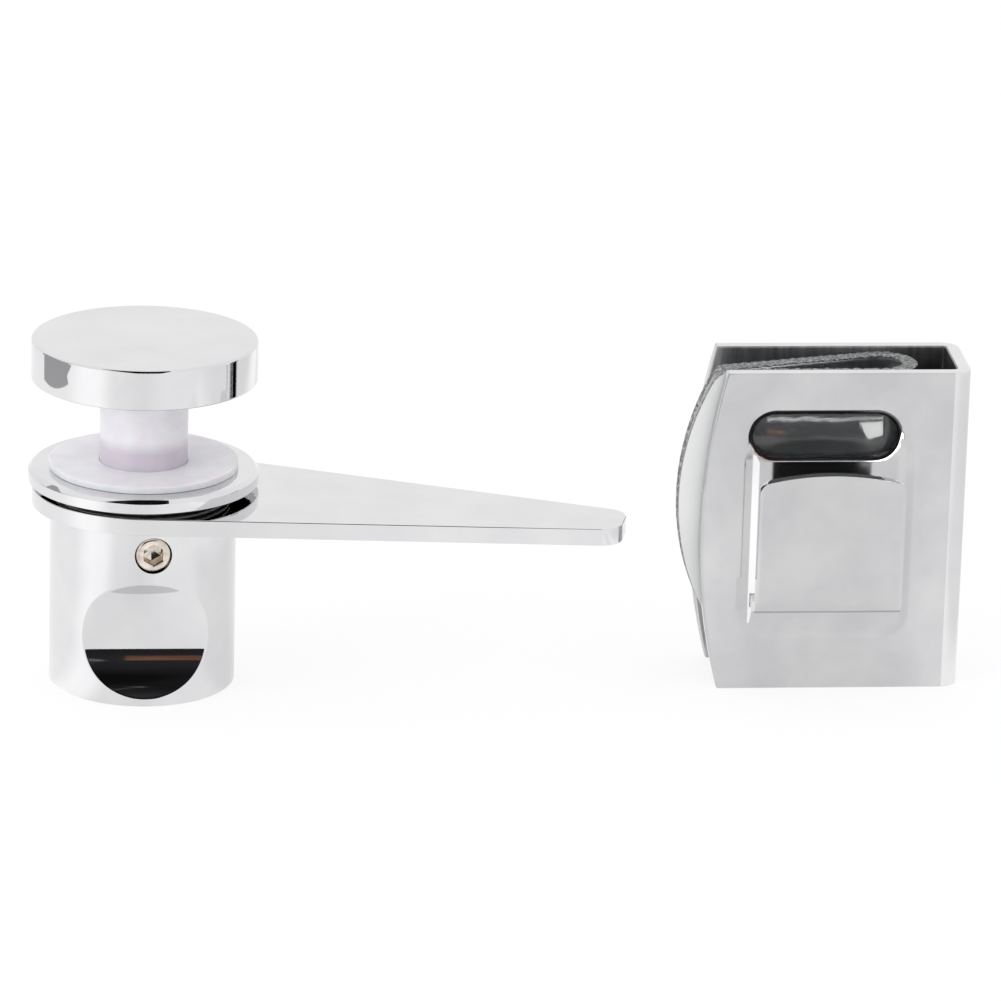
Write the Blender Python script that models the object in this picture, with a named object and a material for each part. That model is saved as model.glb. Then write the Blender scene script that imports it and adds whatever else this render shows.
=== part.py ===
"""Glass door latch: a turning lever on a glass mount, and the U-shaped keeper that takes its tip.

Metres, +Z up. The lever half stands on its knob's end, as it lies on a table before fitting.
The origin is the centre of the knob's end face, +Z is the knob's axis and +X runs along the
keeper's front plate. The keeper stands beside the lever half on the same surface.
"""
import bmesh
import bpy
from math import acos, asin, atan2, cos, hypot, pi, radians, sin, sqrt, tau
from mathutils import Matrix, Vector

MM = 0.001

# Clearances between neighbouring pieces
SEAT_GAP = 0.25 * MM
RADIAL_GAP = 0.3 * MM
MOUTH = 1.0 * MM
ROUND_SIDES = 96
SMALL_SIDES = 48

# Knob, with a finger scoop on two sides and a keyed boss on top
KNOB_RADIUS = 12.4 * MM
KNOB_HEIGHT = 24.45 * MM
KNOB_END_CHAMFER = 0.4 * MM
KNOB_TOP_CHAMFER = 0.15 * MM
KNOB_TURN = radians(-0.4)
SCOOP_DEPTH = 3.2 * MM
SCOOP_TO_END = 1.19 * MM
SCOOP_TO_HOLE = 1.39 * MM
BOSS_RADIUS = 9.0 * MM
BOSS_FLATS = 15.6 * MM
BOSS_SINK = 0.15 * MM

# Lever, a flat plate that tapers from its hub to a round-cornered tip
LEVER_THICKNESS = 2.3 * MM
LEVER_HUB_RADIUS = 14.8 * MM
LEVER_REACH = 64.5 * MM
LEVER_TIP_WIDTH = 9.0 * MM
LEVER_TIP_CORNER = 3.0 * MM
LEVER_EDGE = 0.2 * MM
LEVER_YAW = radians(-14.5)

# Flange with the spigot that the knob turns on
FLANGE_RADIUS = 15.3 * MM
FLANGE_THICKNESS = 1.9 * MM
FLANGE_CHAMFER = 0.5 * MM
SPIGOT_RADIUS = 6.0 * MM
SPIGOT_REACH = 9.65 * MM
SPIGOT_CHAMFER = 0.6 * MM
GROOVE_DEPTH = 1.0 * MM
GROOVE_WIDTH = 3.4 * MM

# Nylon thrust washer between the lever and the flange
THRUST_RADIUS = 11.5 * MM
THRUST_THICKNESS = 0.3 * MM

# Plastic that keeps the metal off the glass: washer, sleeve through the hole, gasket
WASHER_RADIUS = 12.55 * MM
WASHER_THICKNESS = 0.65 * MM
GLASS_GAP = 10.5 * MM
GASKET_RADIUS = 12.0 * MM
GASKET_THICKNESS = 0.5 * MM
SLEEVE_RADIUS = 5.85 * MM
SLEEVE_WALL = 1.25 * MM

# Cap disc on the other face of the glass, with the boss that the stud screws into
CAP_RADIUS = 15.0 * MM
CAP_THICKNESS = 5.5 * MM
CAP_CHAMFER = 0.35 * MM
CAP_BOSS_LENGTH = 8.5 * MM
CAP_HOLE_COVER = 3.0 * MM

# Stud and grub screw
STUD_RADIUS = 3.0 * MM
STUD_CHAMFER = 0.5 * MM
STUD_INSET = 1.7 * MM
GRUB_RADIUS = 2.35 * MM
GRUB_BELOW_TOP = 3.35 * MM
GRUB_TURN = radians(3.8)
GRUB_SINK = 0.3 * MM
GRUB_CHAMFER = 0.35 * MM
GRUB_HEX = 2.5 * MM
GRUB_HEX_DEPTH = 2.2 * MM
GRUB_TIP_RADIUS = 1.3 * MM
GRUB_TIP_LENGTH = 1.0 * MM

# Keeper, a U-shaped clip: front plate, closed end on the right, back plate
CLIP_LEFT = 76.8 * MM
CLIP_FRONT = -6.8 * MM
CLIP_WIDTH = 32.8 * MM
CLIP_HEIGHT = 44.2 * MM
CLIP_DEPTH = 14.2 * MM
CLIP_WALL = 1.9 * MM
CLIP_BEND = 2.4 * MM
CLIP_BULGE = 2.9 * MM

# Round-ended slot in the front plate, with a rolled rim
SLOT_CENTRE = 13.4 * MM
SLOT_BELOW_TOP = 8.85 * MM
SLOT_LENGTH = 19.4 * MM
SLOT_HEIGHT = 6.1 * MM
SLOT_ROLL = 0.7 * MM

# Tongue that the lever's tip drops in behind, and the shallow dish pressed round its root
TONGUE_CENTRE = 13.9 * MM
TONGUE_WIDTH = 19.6 * MM
TONGUE_BOTTOM_Z = 11.8 * MM
TONGUE_BELOW_SLOT = 0.5 * MM
TONGUE_ARCH = 1.3 * MM
TONGUE_CORNER = 1.2 * MM
TONGUE_WALL = 1.5 * MM
TONGUE_GAP = 3.9 * MM
TONGUE_FLARE = 0.5 * MM
TONGUE_BEND = 2.6 * MM
DISH_DEPTH = 0.35 * MM
DISH_SLOPE = 1.4 * MM
DISH_SIDE = 0.5 * MM
DISH_BELOW = 3.6 * MM
DISH_CORNER = 2.0 * MM

# Soft clear liner folded in the keeper, with bulging free edges at the open side
LINER_THICKNESS = 0.9 * MM
LINER_FOLD_GAP = 5.0 * MM
LINER_FOLD_SPAN = 8.9 * MM
LINER_BACK_LEAN = 8.3 * MM
LINER_TOP_DROP = 0.5 * MM
LINER_FOOT = 0.3 * MM
LINER_BULGE = 4.3 * MM
LINER_ARC_LOW_Z = 9.5 * MM
LINER_ARC_BELOW_TOP = 1.6 * MM
LINER_ARC_SETBACK = -1.4 * MM

# Places along the knob, measured from its top, and the scoop that fills the wall below the hole
GRUB_CENTRE_Z = KNOB_HEIGHT - GRUB_BELOW_TOP
SPIGOT_TIP_Z = KNOB_HEIGHT - SPIGOT_REACH
STUD_TIP_Z = SPIGOT_TIP_Z + STUD_INSET
SCOOP_TOP_Z = GRUB_CENTRE_Z - GRUB_RADIUS - SEAT_GAP - SCOOP_TO_HOLE
SCOOP_CENTRE_Z = (SCOOP_TO_END + SCOOP_TOP_Z) / 2
SCOOP_HALF = (SCOOP_TOP_Z - SCOOP_TO_END) / 2
SCOOP_RADIUS = (SCOOP_HALF ** 2 + SCOOP_DEPTH ** 2) / (2 * SCOOP_DEPTH)

# Heights on the keeper, measured from its top edge
SLOT_CENTRE_Z = CLIP_HEIGHT - SLOT_BELOW_TOP
TONGUE_TOP_Z = SLOT_CENTRE_Z - SLOT_HEIGHT / 2 - TONGUE_BELOW_SLOT
LINER_ARC_HIGH_Z = CLIP_HEIGHT - LINER_ARC_BELOW_TOP

# Levels of the stack on the knob's axis, each from the piece below it
LEVER_BOTTOM_Z = KNOB_HEIGHT + SEAT_GAP
LEVER_TOP_Z = LEVER_BOTTOM_Z + LEVER_THICKNESS
THRUST_BOTTOM_Z = LEVER_TOP_Z + SEAT_GAP
FLANGE_BOTTOM_Z = THRUST_BOTTOM_Z + THRUST_THICKNESS + SEAT_GAP
FLANGE_TOP_Z = FLANGE_BOTTOM_Z + FLANGE_THICKNESS
WASHER_BOTTOM_Z = FLANGE_TOP_Z + SEAT_GAP
WASHER_TOP_Z = WASHER_BOTTOM_Z + WASHER_THICKNESS
GASKET_BOTTOM_Z = WASHER_TOP_Z + GLASS_GAP
CAP_BOTTOM_Z = GASKET_BOTTOM_Z + GASKET_THICKNESS + SEAT_GAP
CAP_TOP_Z = CAP_BOTTOM_Z + CAP_THICKNESS


def clear_scene():
    """Start from an empty scene."""
    for item in list(bpy.data.objects):
        bpy.data.objects.remove(item, do_unlink=True)


def finish_material(name, colour, roughness, metallic, alpha=1.0):
    """A Principled material with one colour."""
    material = bpy.data.materials.new(name)
    material.use_nodes = True
    shader = material.node_tree.nodes["Principled BSDF"]
    shader.inputs["Base Color"].default_value = (*colour, 1.0)
    shader.inputs["Roughness"].default_value = roughness
    shader.inputs["Metallic"].default_value = metallic
    shader.inputs["Alpha"].default_value = alpha
    return material


def add_object(name, shape, material=None):
    """Turn a bmesh into an object with outward faces and smooth round sides."""
    bmesh.ops.recalc_face_normals(shape, faces=shape.faces)
    mesh = bpy.data.meshes.new(name)
    shape.to_mesh(mesh)
    shape.free()
    mesh.shade_smooth()
    mesh.set_sharp_from_angle(angle=radians(30))
    if material:
        mesh.materials.append(material)
    item = bpy.data.objects.new(name, mesh)
    bpy.context.scene.collection.objects.link(item)
    return item


def as_cutter(item):
    """Keep a helper shape out of the render and show it as wire."""
    item.hide_render = True
    item.display_type = "WIRE"
    return item


def combine(item, other, operation="DIFFERENCE"):
    """Cut, join or trim an object with another by an exact Boolean."""
    modifier = item.modifiers.new(operation.lower(), "BOOLEAN")
    modifier.object = as_cutter(other)
    modifier.operation = operation
    modifier.solver = "EXACT"


def turned(profile, sides=ROUND_SIDES):
    """Turn a closed outline of (radius, z) points about the Z axis; radius 0 makes a pole."""
    shape = bmesh.new()
    rings = []
    for radius, z in profile:
        if radius == 0.0:
            rings.append([shape.verts.new((0.0, 0.0, z))])
            continue
        turn = [tau * step / sides for step in range(sides)]
        rings.append([shape.verts.new((radius * cos(a), radius * sin(a), z)) for a in turn])
    for lower, upper in zip(rings, rings[1:] + rings[:1]):
        if len(lower) == 1 and len(upper) == 1:
            continue
        for step in range(sides):
            after = (step + 1) % sides
            if len(lower) == 1:
                shape.faces.new((lower[0], upper[after], upper[step]))
            elif len(upper) == 1:
                shape.faces.new((lower[step], lower[after], upper[0]))
            else:
                shape.faces.new((lower[step], lower[after], upper[after], upper[step]))
    return shape


def lofted(rows):
    """Join rows of points, each a closed outline of as many points, and cap both ends."""
    shape = bmesh.new()
    rings = [[shape.verts.new(point) for point in row] for row in rows]
    count = len(rings[0])
    for lower, upper in zip(rings, rings[1:]):
        for step in range(count):
            after = (step + 1) % count
            shape.faces.new((lower[step], lower[after], upper[after], upper[step]))
    shape.faces.new(list(reversed(rings[0])))
    shape.faces.new(rings[-1])
    return shape


def arc(centre, radius, start, end, steps):
    """Points of an arc, both ends included."""
    turn = [start + (end - start) * step / steps for step in range(steps + 1)]
    return [(centre[0] + radius * cos(a), centre[1] + radius * sin(a)) for a in turn]


def on_plan(outline, z):
    """An outline of (x, y) points at one height."""
    return [(x, y, z) for x, y in outline]


def on_front(outline, depth):
    """An outline of (x, z) points, seen from the front, at one depth behind the front plate."""
    return [(CLIP_LEFT + x, CLIP_FRONT + depth, z) for x, z in outline]


def rounded_box(low, high, corner, steps=6):
    """Outline of a rectangle with round corners."""
    points = []
    middles = ((high[0], high[1]), (low[0], high[1]), (low[0], low[1]), (high[0], low[1]))
    for quarter, (x, y) in enumerate(middles):
        side = corner if x == low[0] else -corner
        rise = corner if y == low[1] else -corner
        start = quarter * pi / 2
        points += arc((x + side, y + rise), corner, start, start + pi / 2, steps)
    return points


def round_slot(centre, length, height, steps=14):
    """Outline of a slot with half-round ends."""
    radius = height / 2
    reach = length / 2 - radius
    right = arc((centre[0] + reach, centre[1]), radius, -pi / 2, pi / 2, steps)
    left = arc((centre[0] - reach, centre[1]), radius, pi / 2, 3 * pi / 2, steps)
    return right + left


def turn_about_axis(item, angle):
    """Turn an object about the knob's axis, which its origin lies on."""
    item.rotation_euler = (0.0, 0.0, angle)


def flat_cutters(name, radius, flats, low_z, high_z):
    """Two blocks, the flats apart, that mill a round boss to a double D."""
    reach = 2 * radius
    shape = bmesh.new()
    for side in (-1, 1):
        centre = Vector((0, side * (flats / 2 + reach / 2), (low_z + high_z) / 2))
        size = Matrix.Diagonal((2 * reach, reach, high_z - low_z, 1))
        bmesh.ops.create_cube(shape, size=1, matrix=Matrix.Translation(centre) @ size)
    return add_object(name, shape)


def double_d_bar(name, radius, flats, low_z, high_z):
    """A round bar with two flats."""
    angle = asin(flats / 2 / radius)
    outline = arc((0, 0), radius, -angle, angle, 24) + arc((0, 0), radius, pi - angle, pi + angle, 24)
    return add_object(name, lofted([on_plan(outline, low_z), on_plan(outline, high_z)]))


def radial_cylinder(name, radius, start, end, z, azimuth, sides=SMALL_SIDES):
    """A cylinder that lies along a radius of the knob, from start to end off the axis."""
    item = add_object(name, turned([(0.0, start), (radius, start), (radius, end), (0.0, end)], sides))
    item.rotation_euler = (pi / 2, 0.0, azimuth)
    item.location = (0.0, 0.0, z)
    return item


def make_knob(material):
    """Turned knob: bore for the spigot, keyed boss, two finger scoops and the grub screw's hole."""
    bore = SPIGOT_RADIUS + RADIAL_GAP
    floor = SPIGOT_TIP_Z - SEAT_GAP
    boss_top = LEVER_TOP_Z - BOSS_SINK
    profile = [
        (0.0, 0.0),
        (KNOB_RADIUS - KNOB_END_CHAMFER, 0.0),
        (KNOB_RADIUS, KNOB_END_CHAMFER),
        (KNOB_RADIUS, KNOB_HEIGHT - KNOB_TOP_CHAMFER),
        (KNOB_RADIUS - KNOB_TOP_CHAMFER, KNOB_HEIGHT),
        (BOSS_RADIUS, KNOB_HEIGHT),
        (BOSS_RADIUS, boss_top),
        (bore, boss_top),
        (bore, floor),
        (0.0, floor),
    ]
    knob = add_object("knob", turned(profile), material)
    turn_about_axis(knob, KNOB_TURN)
    flats = flat_cutters("boss_flats", BOSS_RADIUS, BOSS_FLATS, KNOB_HEIGHT, boss_top + MOUTH)
    turn_about_axis(flats, LEVER_YAW)
    combine(knob, flats)
    offset = KNOB_RADIUS - SCOOP_DEPTH + SCOOP_RADIUS
    for side, name in ((-1, "front_scoop"), (1, "back_scoop")):
        reach = KNOB_RADIUS + MOUTH
        bar = [(0.0, -reach), (SCOOP_RADIUS, -reach), (SCOOP_RADIUS, reach), (0.0, reach)]
        scoop = add_object(name, turned(bar, 2 * SMALL_SIDES))
        scoop.rotation_euler = (0.0, pi / 2, KNOB_TURN)
        scoop.location = (-side * offset * sin(KNOB_TURN), side * offset * cos(KNOB_TURN), SCOOP_CENTRE_Z)
        combine(knob, scoop)
    hole = radial_cylinder("grub_hole", GRUB_RADIUS + SEAT_GAP, 0.5 * bore, KNOB_RADIUS + MOUTH,
                           GRUB_CENTRE_Z, GRUB_TURN)
    combine(knob, hole)
    return knob


def lever_outline(inset=0.0):
    """Hub circle and two tip corners, joined by their common tangents; inset shrinks it evenly."""
    hub = LEVER_HUB_RADIUS - inset
    corner = LEVER_TIP_CORNER - inset
    corner_x = LEVER_REACH - LEVER_TIP_CORNER
    corner_y = LEVER_TIP_WIDTH / 2 - LEVER_TIP_CORNER
    tangent = atan2(corner_y, corner_x) + acos((hub - corner) / hypot(corner_x, corner_y))
    points = arc((corner_x, -corner_y), corner, -tangent, 0.0, 8)
    points += arc((corner_x, corner_y), corner, 0.0, tangent, 8)
    points += arc((0.0, 0.0), hub, tangent, tau - tangent, 56)
    return points


def make_lever(material):
    """Flat lever with eased edges and a double-D hole that keys it to the knob's boss."""
    rows = [
        on_plan(lever_outline(LEVER_EDGE), LEVER_BOTTOM_Z),
        on_plan(lever_outline(), LEVER_BOTTOM_Z + LEVER_EDGE),
        on_plan(lever_outline(), LEVER_TOP_Z - LEVER_EDGE),
        on_plan(lever_outline(LEVER_EDGE), LEVER_TOP_Z),
    ]
    lever = add_object("lever", lofted(rows), material)
    turn_about_axis(lever, LEVER_YAW)
    hole = double_d_bar("lever_hole", BOSS_RADIUS + RADIAL_GAP, BOSS_FLATS + 2 * RADIAL_GAP,
                        LEVER_BOTTOM_Z - MOUTH, LEVER_TOP_Z + MOUTH)
    turn_about_axis(hole, LEVER_YAW)
    combine(lever, hole)
    return lever


def make_grub_screw(material):
    """Socket grub screw whose tip runs in the spigot's groove."""
    head = KNOB_RADIUS - GRUB_SINK
    tip = SPIGOT_RADIUS - GROOVE_DEPTH + SEAT_GAP
    body = SPIGOT_RADIUS + RADIAL_GAP + GRUB_TIP_LENGTH
    profile = [
        (0.0, tip),
        (GRUB_TIP_RADIUS, tip),
        (GRUB_TIP_RADIUS, body - GRUB_CHAMFER),
        (GRUB_RADIUS, body),
        (GRUB_RADIUS, head - GRUB_CHAMFER),
        (GRUB_RADIUS - GRUB_CHAMFER, head),
        (0.0, head),
    ]
    screw = add_object("grub_screw", turned(profile, SMALL_SIDES), material)
    hex_radius = GRUB_HEX / sqrt(3)
    bottom = head - GRUB_HEX_DEPTH
    socket = [(0.0, bottom), (hex_radius, bottom), (hex_radius, head + MOUTH), (0.0, head + MOUTH)]
    key = add_object("hex_socket", turned(socket, 6))
    for item in (screw, key):
        item.rotation_euler = (pi / 2, 0.0, GRUB_TURN)
        item.location = (0.0, 0.0, GRUB_CENTRE_Z)
    combine(screw, key)
    return screw


def make_flange(material):
    """Flange against the glass, with a grooved spigot below and a threaded hole through both."""
    hole = STUD_RADIUS + RADIAL_GAP
    groove = SPIGOT_RADIUS - GROOVE_DEPTH
    groove_low = GRUB_CENTRE_Z - GROOVE_WIDTH / 2
    groove_high = GRUB_CENTRE_Z + GROOVE_WIDTH / 2
    profile = [
        (hole, SPIGOT_TIP_Z),
        (SPIGOT_RADIUS - SPIGOT_CHAMFER, SPIGOT_TIP_Z),
        (SPIGOT_RADIUS, SPIGOT_TIP_Z + SPIGOT_CHAMFER),
        (SPIGOT_RADIUS, groove_low),
        (groove, groove_low),
        (groove, groove_high),
        (SPIGOT_RADIUS, groove_high),
        (SPIGOT_RADIUS, FLANGE_BOTTOM_Z),
        (FLANGE_RADIUS, FLANGE_BOTTOM_Z),
        (FLANGE_RADIUS, FLANGE_TOP_Z - FLANGE_CHAMFER),
        (FLANGE_RADIUS - FLANGE_CHAMFER, FLANGE_TOP_Z),
        (hole, FLANGE_TOP_Z),
    ]
    return add_object("flange", turned(profile), material)


def make_ring(name, inner, outer, low_z, high_z, material):
    """A plain washer or sleeve."""
    profile = [(inner, low_z), (outer, low_z), (outer, high_z), (inner, high_z)]
    return add_object(name, turned(profile), material)


def make_cap_disc(material):
    """Cap disc with the boss that reaches into the sleeve, and its blind threaded hole."""
    hole = STUD_RADIUS + RADIAL_GAP
    boss = SLEEVE_RADIUS - SLEEVE_WALL - RADIAL_GAP
    boss_tip = CAP_BOTTOM_Z - CAP_BOSS_LENGTH
    hole_end = CAP_TOP_Z - CAP_HOLE_COVER
    profile = [
        (0.0, hole_end),
        (hole, hole_end),
        (hole, boss_tip),
        (boss, boss_tip),
        (boss, CAP_BOTTOM_Z),
        (CAP_RADIUS, CAP_BOTTOM_Z),
        (CAP_RADIUS, CAP_TOP_Z - CAP_CHAMFER),
        (CAP_RADIUS - CAP_CHAMFER, CAP_TOP_Z),
        (0.0, CAP_TOP_Z),
    ]
    return add_object("cap_disc", turned(profile), material)


def make_stud(material):
    """Stud that draws the cap disc and the flange together on the glass."""
    top = CAP_TOP_Z - CAP_HOLE_COVER - SEAT_GAP
    profile = [
        (0.0, STUD_TIP_Z),
        (STUD_RADIUS - STUD_CHAMFER, STUD_TIP_Z),
        (STUD_RADIUS, STUD_TIP_Z + STUD_CHAMFER),
        (STUD_RADIUS, top - STUD_CHAMFER),
        (STUD_RADIUS - STUD_CHAMFER, top),
        (0.0, top),
    ]
    return add_object("stud", turned(profile, SMALL_SIDES), material)


def clip_plan():
    """U-shaped outline of the keeper from above, its free ends left long for trimming."""
    end = -2 * CLIP_BULGE
    inner_bend = CLIP_BEND - CLIP_WALL
    right = CLIP_WIDTH
    back = CLIP_DEPTH
    outer = [(end, 0.0)]
    outer += arc((right - CLIP_BEND, CLIP_BEND), CLIP_BEND, -pi / 2, 0.0, 8)
    outer += arc((right - CLIP_BEND, back - CLIP_BEND), CLIP_BEND, 0.0, pi / 2, 8)
    outer += [(end, back)]
    inner = [(end, back - CLIP_WALL)]
    inner += arc((right - CLIP_BEND, back - CLIP_BEND), inner_bend, pi / 2, 0.0, 8)
    inner += arc((right - CLIP_BEND, CLIP_BEND), inner_bend, 0.0, -pi / 2, 8)
    inner += [(end, CLIP_WALL)]
    return [(CLIP_LEFT + x, CLIP_FRONT + y) for x, y in outer + inner]


def bulged_side(left, low_z, high_z, bulge, right, bottom, top):
    """Front view of a sheet whose left side bows out in one arc between two heights."""
    half = (high_z - low_z) / 2
    radius = (half * half + bulge * bulge) / (2 * bulge)
    centre = (left - bulge + radius, (low_z + high_z) / 2)
    angle = acos((radius - bulge) / radius)
    return [(right, bottom), (right, top)] + arc(centre, radius, pi - angle, pi + angle, 24)


def make_tongue():
    """Tongue bent out and up from the front plate, with an arched top and round top corners."""
    face = -TONGUE_GAP
    bend = TONGUE_BEND
    inner_bend = bend - TONGUE_WALL
    low = TONGUE_BOTTOM_Z
    turn = (face - TONGUE_WALL + bend, low + bend)
    root = CLIP_WALL - SEAT_GAP
    side = [(root, low + TONGUE_WALL)]
    side += arc(turn, inner_bend, -pi / 2, -pi, 8)
    side.append((face - TONGUE_FLARE, TONGUE_TOP_Z + MOUTH))
    side.append((face - TONGUE_FLARE - TONGUE_WALL, TONGUE_TOP_Z + MOUTH))
    side += arc(turn, bend, -pi, -pi / 2, 8)
    side += [(root, low)]
    half = TONGUE_WIDTH / 2
    rows = []
    for x in (TONGUE_CENTRE - half, TONGUE_CENTRE + half):
        rows.append([(CLIP_LEFT + x, CLIP_FRONT + depth, z) for depth, z in side])
    tongue = add_object("tongue", lofted(rows))
    radius = (half * half + TONGUE_ARCH * TONGUE_ARCH) / (2 * TONGUE_ARCH)
    centre = (TONGUE_CENTRE, TONGUE_TOP_Z - radius)
    corner = TONGUE_CORNER
    corner_x = half - corner
    corner_z = centre[1] + sqrt((radius - corner) ** 2 - corner_x ** 2)
    lean = atan2(corner_z - centre[1], corner_x)
    wide = TONGUE_CENTRE + half
    narrow = TONGUE_CENTRE - half
    face_view = [(narrow, low - MOUTH), (wide, low - MOUTH)]
    face_view += arc((wide - corner, corner_z), corner, 0.0, lean, 6)
    face_view += arc(centre, radius, lean, pi - lean, 20)[1:-1]
    face_view += arc((narrow + corner, corner_z), corner, pi - lean, pi, 6)
    deep = 4 * TONGUE_GAP
    trim = add_object("tongue_outline", lofted([on_front(face_view, -deep), on_front(face_view, deep)]))
    combine(tongue, trim, "INTERSECT")
    return as_cutter(tongue)


def make_keeper_clip(material):
    """One formed piece: U-shaped clip with bowed free edges, slot, dish and tongue."""
    plan = clip_plan()
    clip = add_object("keeper_clip", lofted([on_plan(plan, 0.0), on_plan(plan, CLIP_HEIGHT)]), material)
    side = bulged_side(0.0, 0.0, CLIP_HEIGHT, CLIP_BULGE, CLIP_WIDTH + MOUTH, -MOUTH, CLIP_HEIGHT + MOUTH)
    rows = [on_front(side, -MOUTH), on_front(side, CLIP_DEPTH + MOUTH)]
    combine(clip, add_object("clip_side_view", lofted(rows)), "INTERSECT")
    middle = (SLOT_CENTRE, SLOT_CENTRE_Z)
    rows = []
    for step in range(7):
        angle = pi / 2 * step / 6
        grow = 2 * SLOT_ROLL * (1 - sin(angle))
        outline = round_slot(middle, SLOT_LENGTH + grow, SLOT_HEIGHT + grow)
        rows.append(on_front(outline, SLOT_ROLL * (1 - cos(angle))))
    mouth = round_slot(middle, SLOT_LENGTH + 2 * SLOT_ROLL, SLOT_HEIGHT + 2 * SLOT_ROLL)
    rows.insert(0, on_front(mouth, -MOUTH))
    rows.append(on_front(round_slot(middle, SLOT_LENGTH, SLOT_HEIGHT), CLIP_WALL + MOUTH))
    combine(clip, add_object("slot_cut", lofted(rows)))
    half = TONGUE_WIDTH / 2 + DISH_SIDE
    low = (TONGUE_CENTRE - half, TONGUE_BOTTOM_Z - DISH_BELOW)
    high = (TONGUE_CENTRE + half, SLOT_CENTRE_Z)
    rows = []
    for grow, depth in ((DISH_SLOPE, -MOUTH), (DISH_SLOPE, 0.0), (0.0, DISH_DEPTH)):
        outline = rounded_box((low[0] - grow, low[1] - grow), (high[0] + grow, high[1] + grow), DISH_CORNER + grow)
        rows.append(on_front(outline, depth))
    combine(clip, add_object("dish_cut", lofted(rows)))
    combine(clip, make_tongue(), "UNION")
    return clip


def liner_path():
    """Middle line of the folded liner from above: front leg, fold, leaning back leg."""
    near = CLIP_WALL + SEAT_GAP + LINER_THICKNESS / 2
    radius = LINER_FOLD_SPAN / 2
    fold_x = CLIP_WIDTH - CLIP_WALL - LINER_FOLD_GAP - radius
    free = -2 * LINER_BULGE
    points = [(free, near)]
    points += arc((fold_x, near + radius), radius, -pi / 2, pi / 2, 20)
    points += [(free, near + LINER_FOLD_SPAN - LINER_BACK_LEAN)]
    return points


def offset_path(path, distance):
    """Points beside an open path, at one distance along each point's mitred normal."""
    result = []
    for index, point in enumerate(path):
        before = path[max(index - 1, 0)]
        after = path[min(index + 1, len(path) - 1)]
        first = Vector((point[0] - before[0], point[1] - before[1]))
        second = Vector((after[0] - point[0], after[1] - point[1]))
        if first.length == 0.0:
            first = second.copy()
        if second.length == 0.0:
            second = first.copy()
        first.normalize()
        second.normalize()
        along = (first + second).normalized()
        normal = Vector((-along.y, along.x))
        stretch = distance / max(normal.dot(Vector((-first.y, first.x))), 0.5)
        result.append((point[0] + normal.x * stretch, point[1] + normal.y * stretch))
    return result


def make_keeper_liner(material):
    """Folded sheet of soft clear plastic, trimmed to bow out past the clip's free edges."""
    path = liner_path()
    sides = offset_path(path, -LINER_THICKNESS / 2) + list(reversed(offset_path(path, LINER_THICKNESS / 2)))
    plan = [(CLIP_LEFT + x, CLIP_FRONT + y) for x, y in sides]
    foot = LINER_FOOT
    top = CLIP_HEIGHT - LINER_TOP_DROP
    liner = add_object("keeper_liner", lofted([on_plan(plan, foot), on_plan(plan, top)]), material)
    side = bulged_side(LINER_ARC_SETBACK, LINER_ARC_LOW_Z, LINER_ARC_HIGH_Z, LINER_BULGE,
                       CLIP_WIDTH, foot - MOUTH, top + MOUTH)
    lower_end = side.pop()
    side += [lower_end, (LINER_ARC_SETBACK + LINER_BULGE / 2, foot - MOUTH)]
    side.insert(2, (LINER_ARC_SETBACK + LINER_BULGE / 2, top + MOUTH))
    rows = [on_front(side, 0.0), on_front(side, CLIP_DEPTH)]
    combine(liner, add_object("liner_side_view", lofted(rows)), "INTERSECT")
    return liner


clear_scene()

chrome = finish_material("polished_chrome", (0.80, 0.81, 0.82), 0.06, 1.0)
keeper_chrome = finish_material("keeper_chrome", (0.72, 0.73, 0.74), 0.14, 1.0)
nickel = finish_material("nickel_screw", (0.60, 0.56, 0.51), 0.25, 1.0)
steel = finish_material("zinc_stud", (0.45, 0.46, 0.47), 0.35, 1.0)
milky = finish_material("milky_plastic", (0.86, 0.84, 0.88), 0.35, 0.0, 0.8)
nylon = finish_material("nylon", (0.85, 0.85, 0.83), 0.5, 0.0)
vinyl = finish_material("clear_vinyl", (0.80, 0.81, 0.82), 0.2, 0.0, 0.4)

handle_axis = bpy.data.objects.new("handle_axis", None)
bpy.context.scene.collection.objects.link(handle_axis)
for piece in (make_knob(chrome), make_lever(chrome), make_grub_screw(nickel)):
    piece.parent = handle_axis

make_flange(chrome)
make_ring("thrust_washer", SPIGOT_RADIUS + RADIAL_GAP, THRUST_RADIUS,
          THRUST_BOTTOM_Z, THRUST_BOTTOM_Z + THRUST_THICKNESS, nylon)
make_ring("glass_washer", SLEEVE_RADIUS + RADIAL_GAP, WASHER_RADIUS, WASHER_BOTTOM_Z, WASHER_TOP_Z, milky)
make_ring("hole_sleeve", SLEEVE_RADIUS - SLEEVE_WALL, SLEEVE_RADIUS,
          WASHER_BOTTOM_Z, CAP_BOTTOM_Z - SEAT_GAP, milky)
make_ring("cap_gasket", SLEEVE_RADIUS + RADIAL_GAP, GASKET_RADIUS,
          GASKET_BOTTOM_Z, GASKET_BOTTOM_Z + GASKET_THICKNESS, milky)
make_cap_disc(chrome)
make_stud(steel)
make_keeper_clip(keeper_chrome)
make_keeper_liner(vinyl)
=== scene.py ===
"""Looks of a glass door latch: polished chrome lever half and keeper on a white studio ground.

Lengths are in millimetres until a mesh or a texture takes them. The parts come in the order in
which they go together: the turning handle, the mount that holds the glass, the keeper, then the
studio and the camera.
"""
from math import pi, radians

import bmesh
import bpy
import numpy as np
from mathutils import Matrix, Vector


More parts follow.
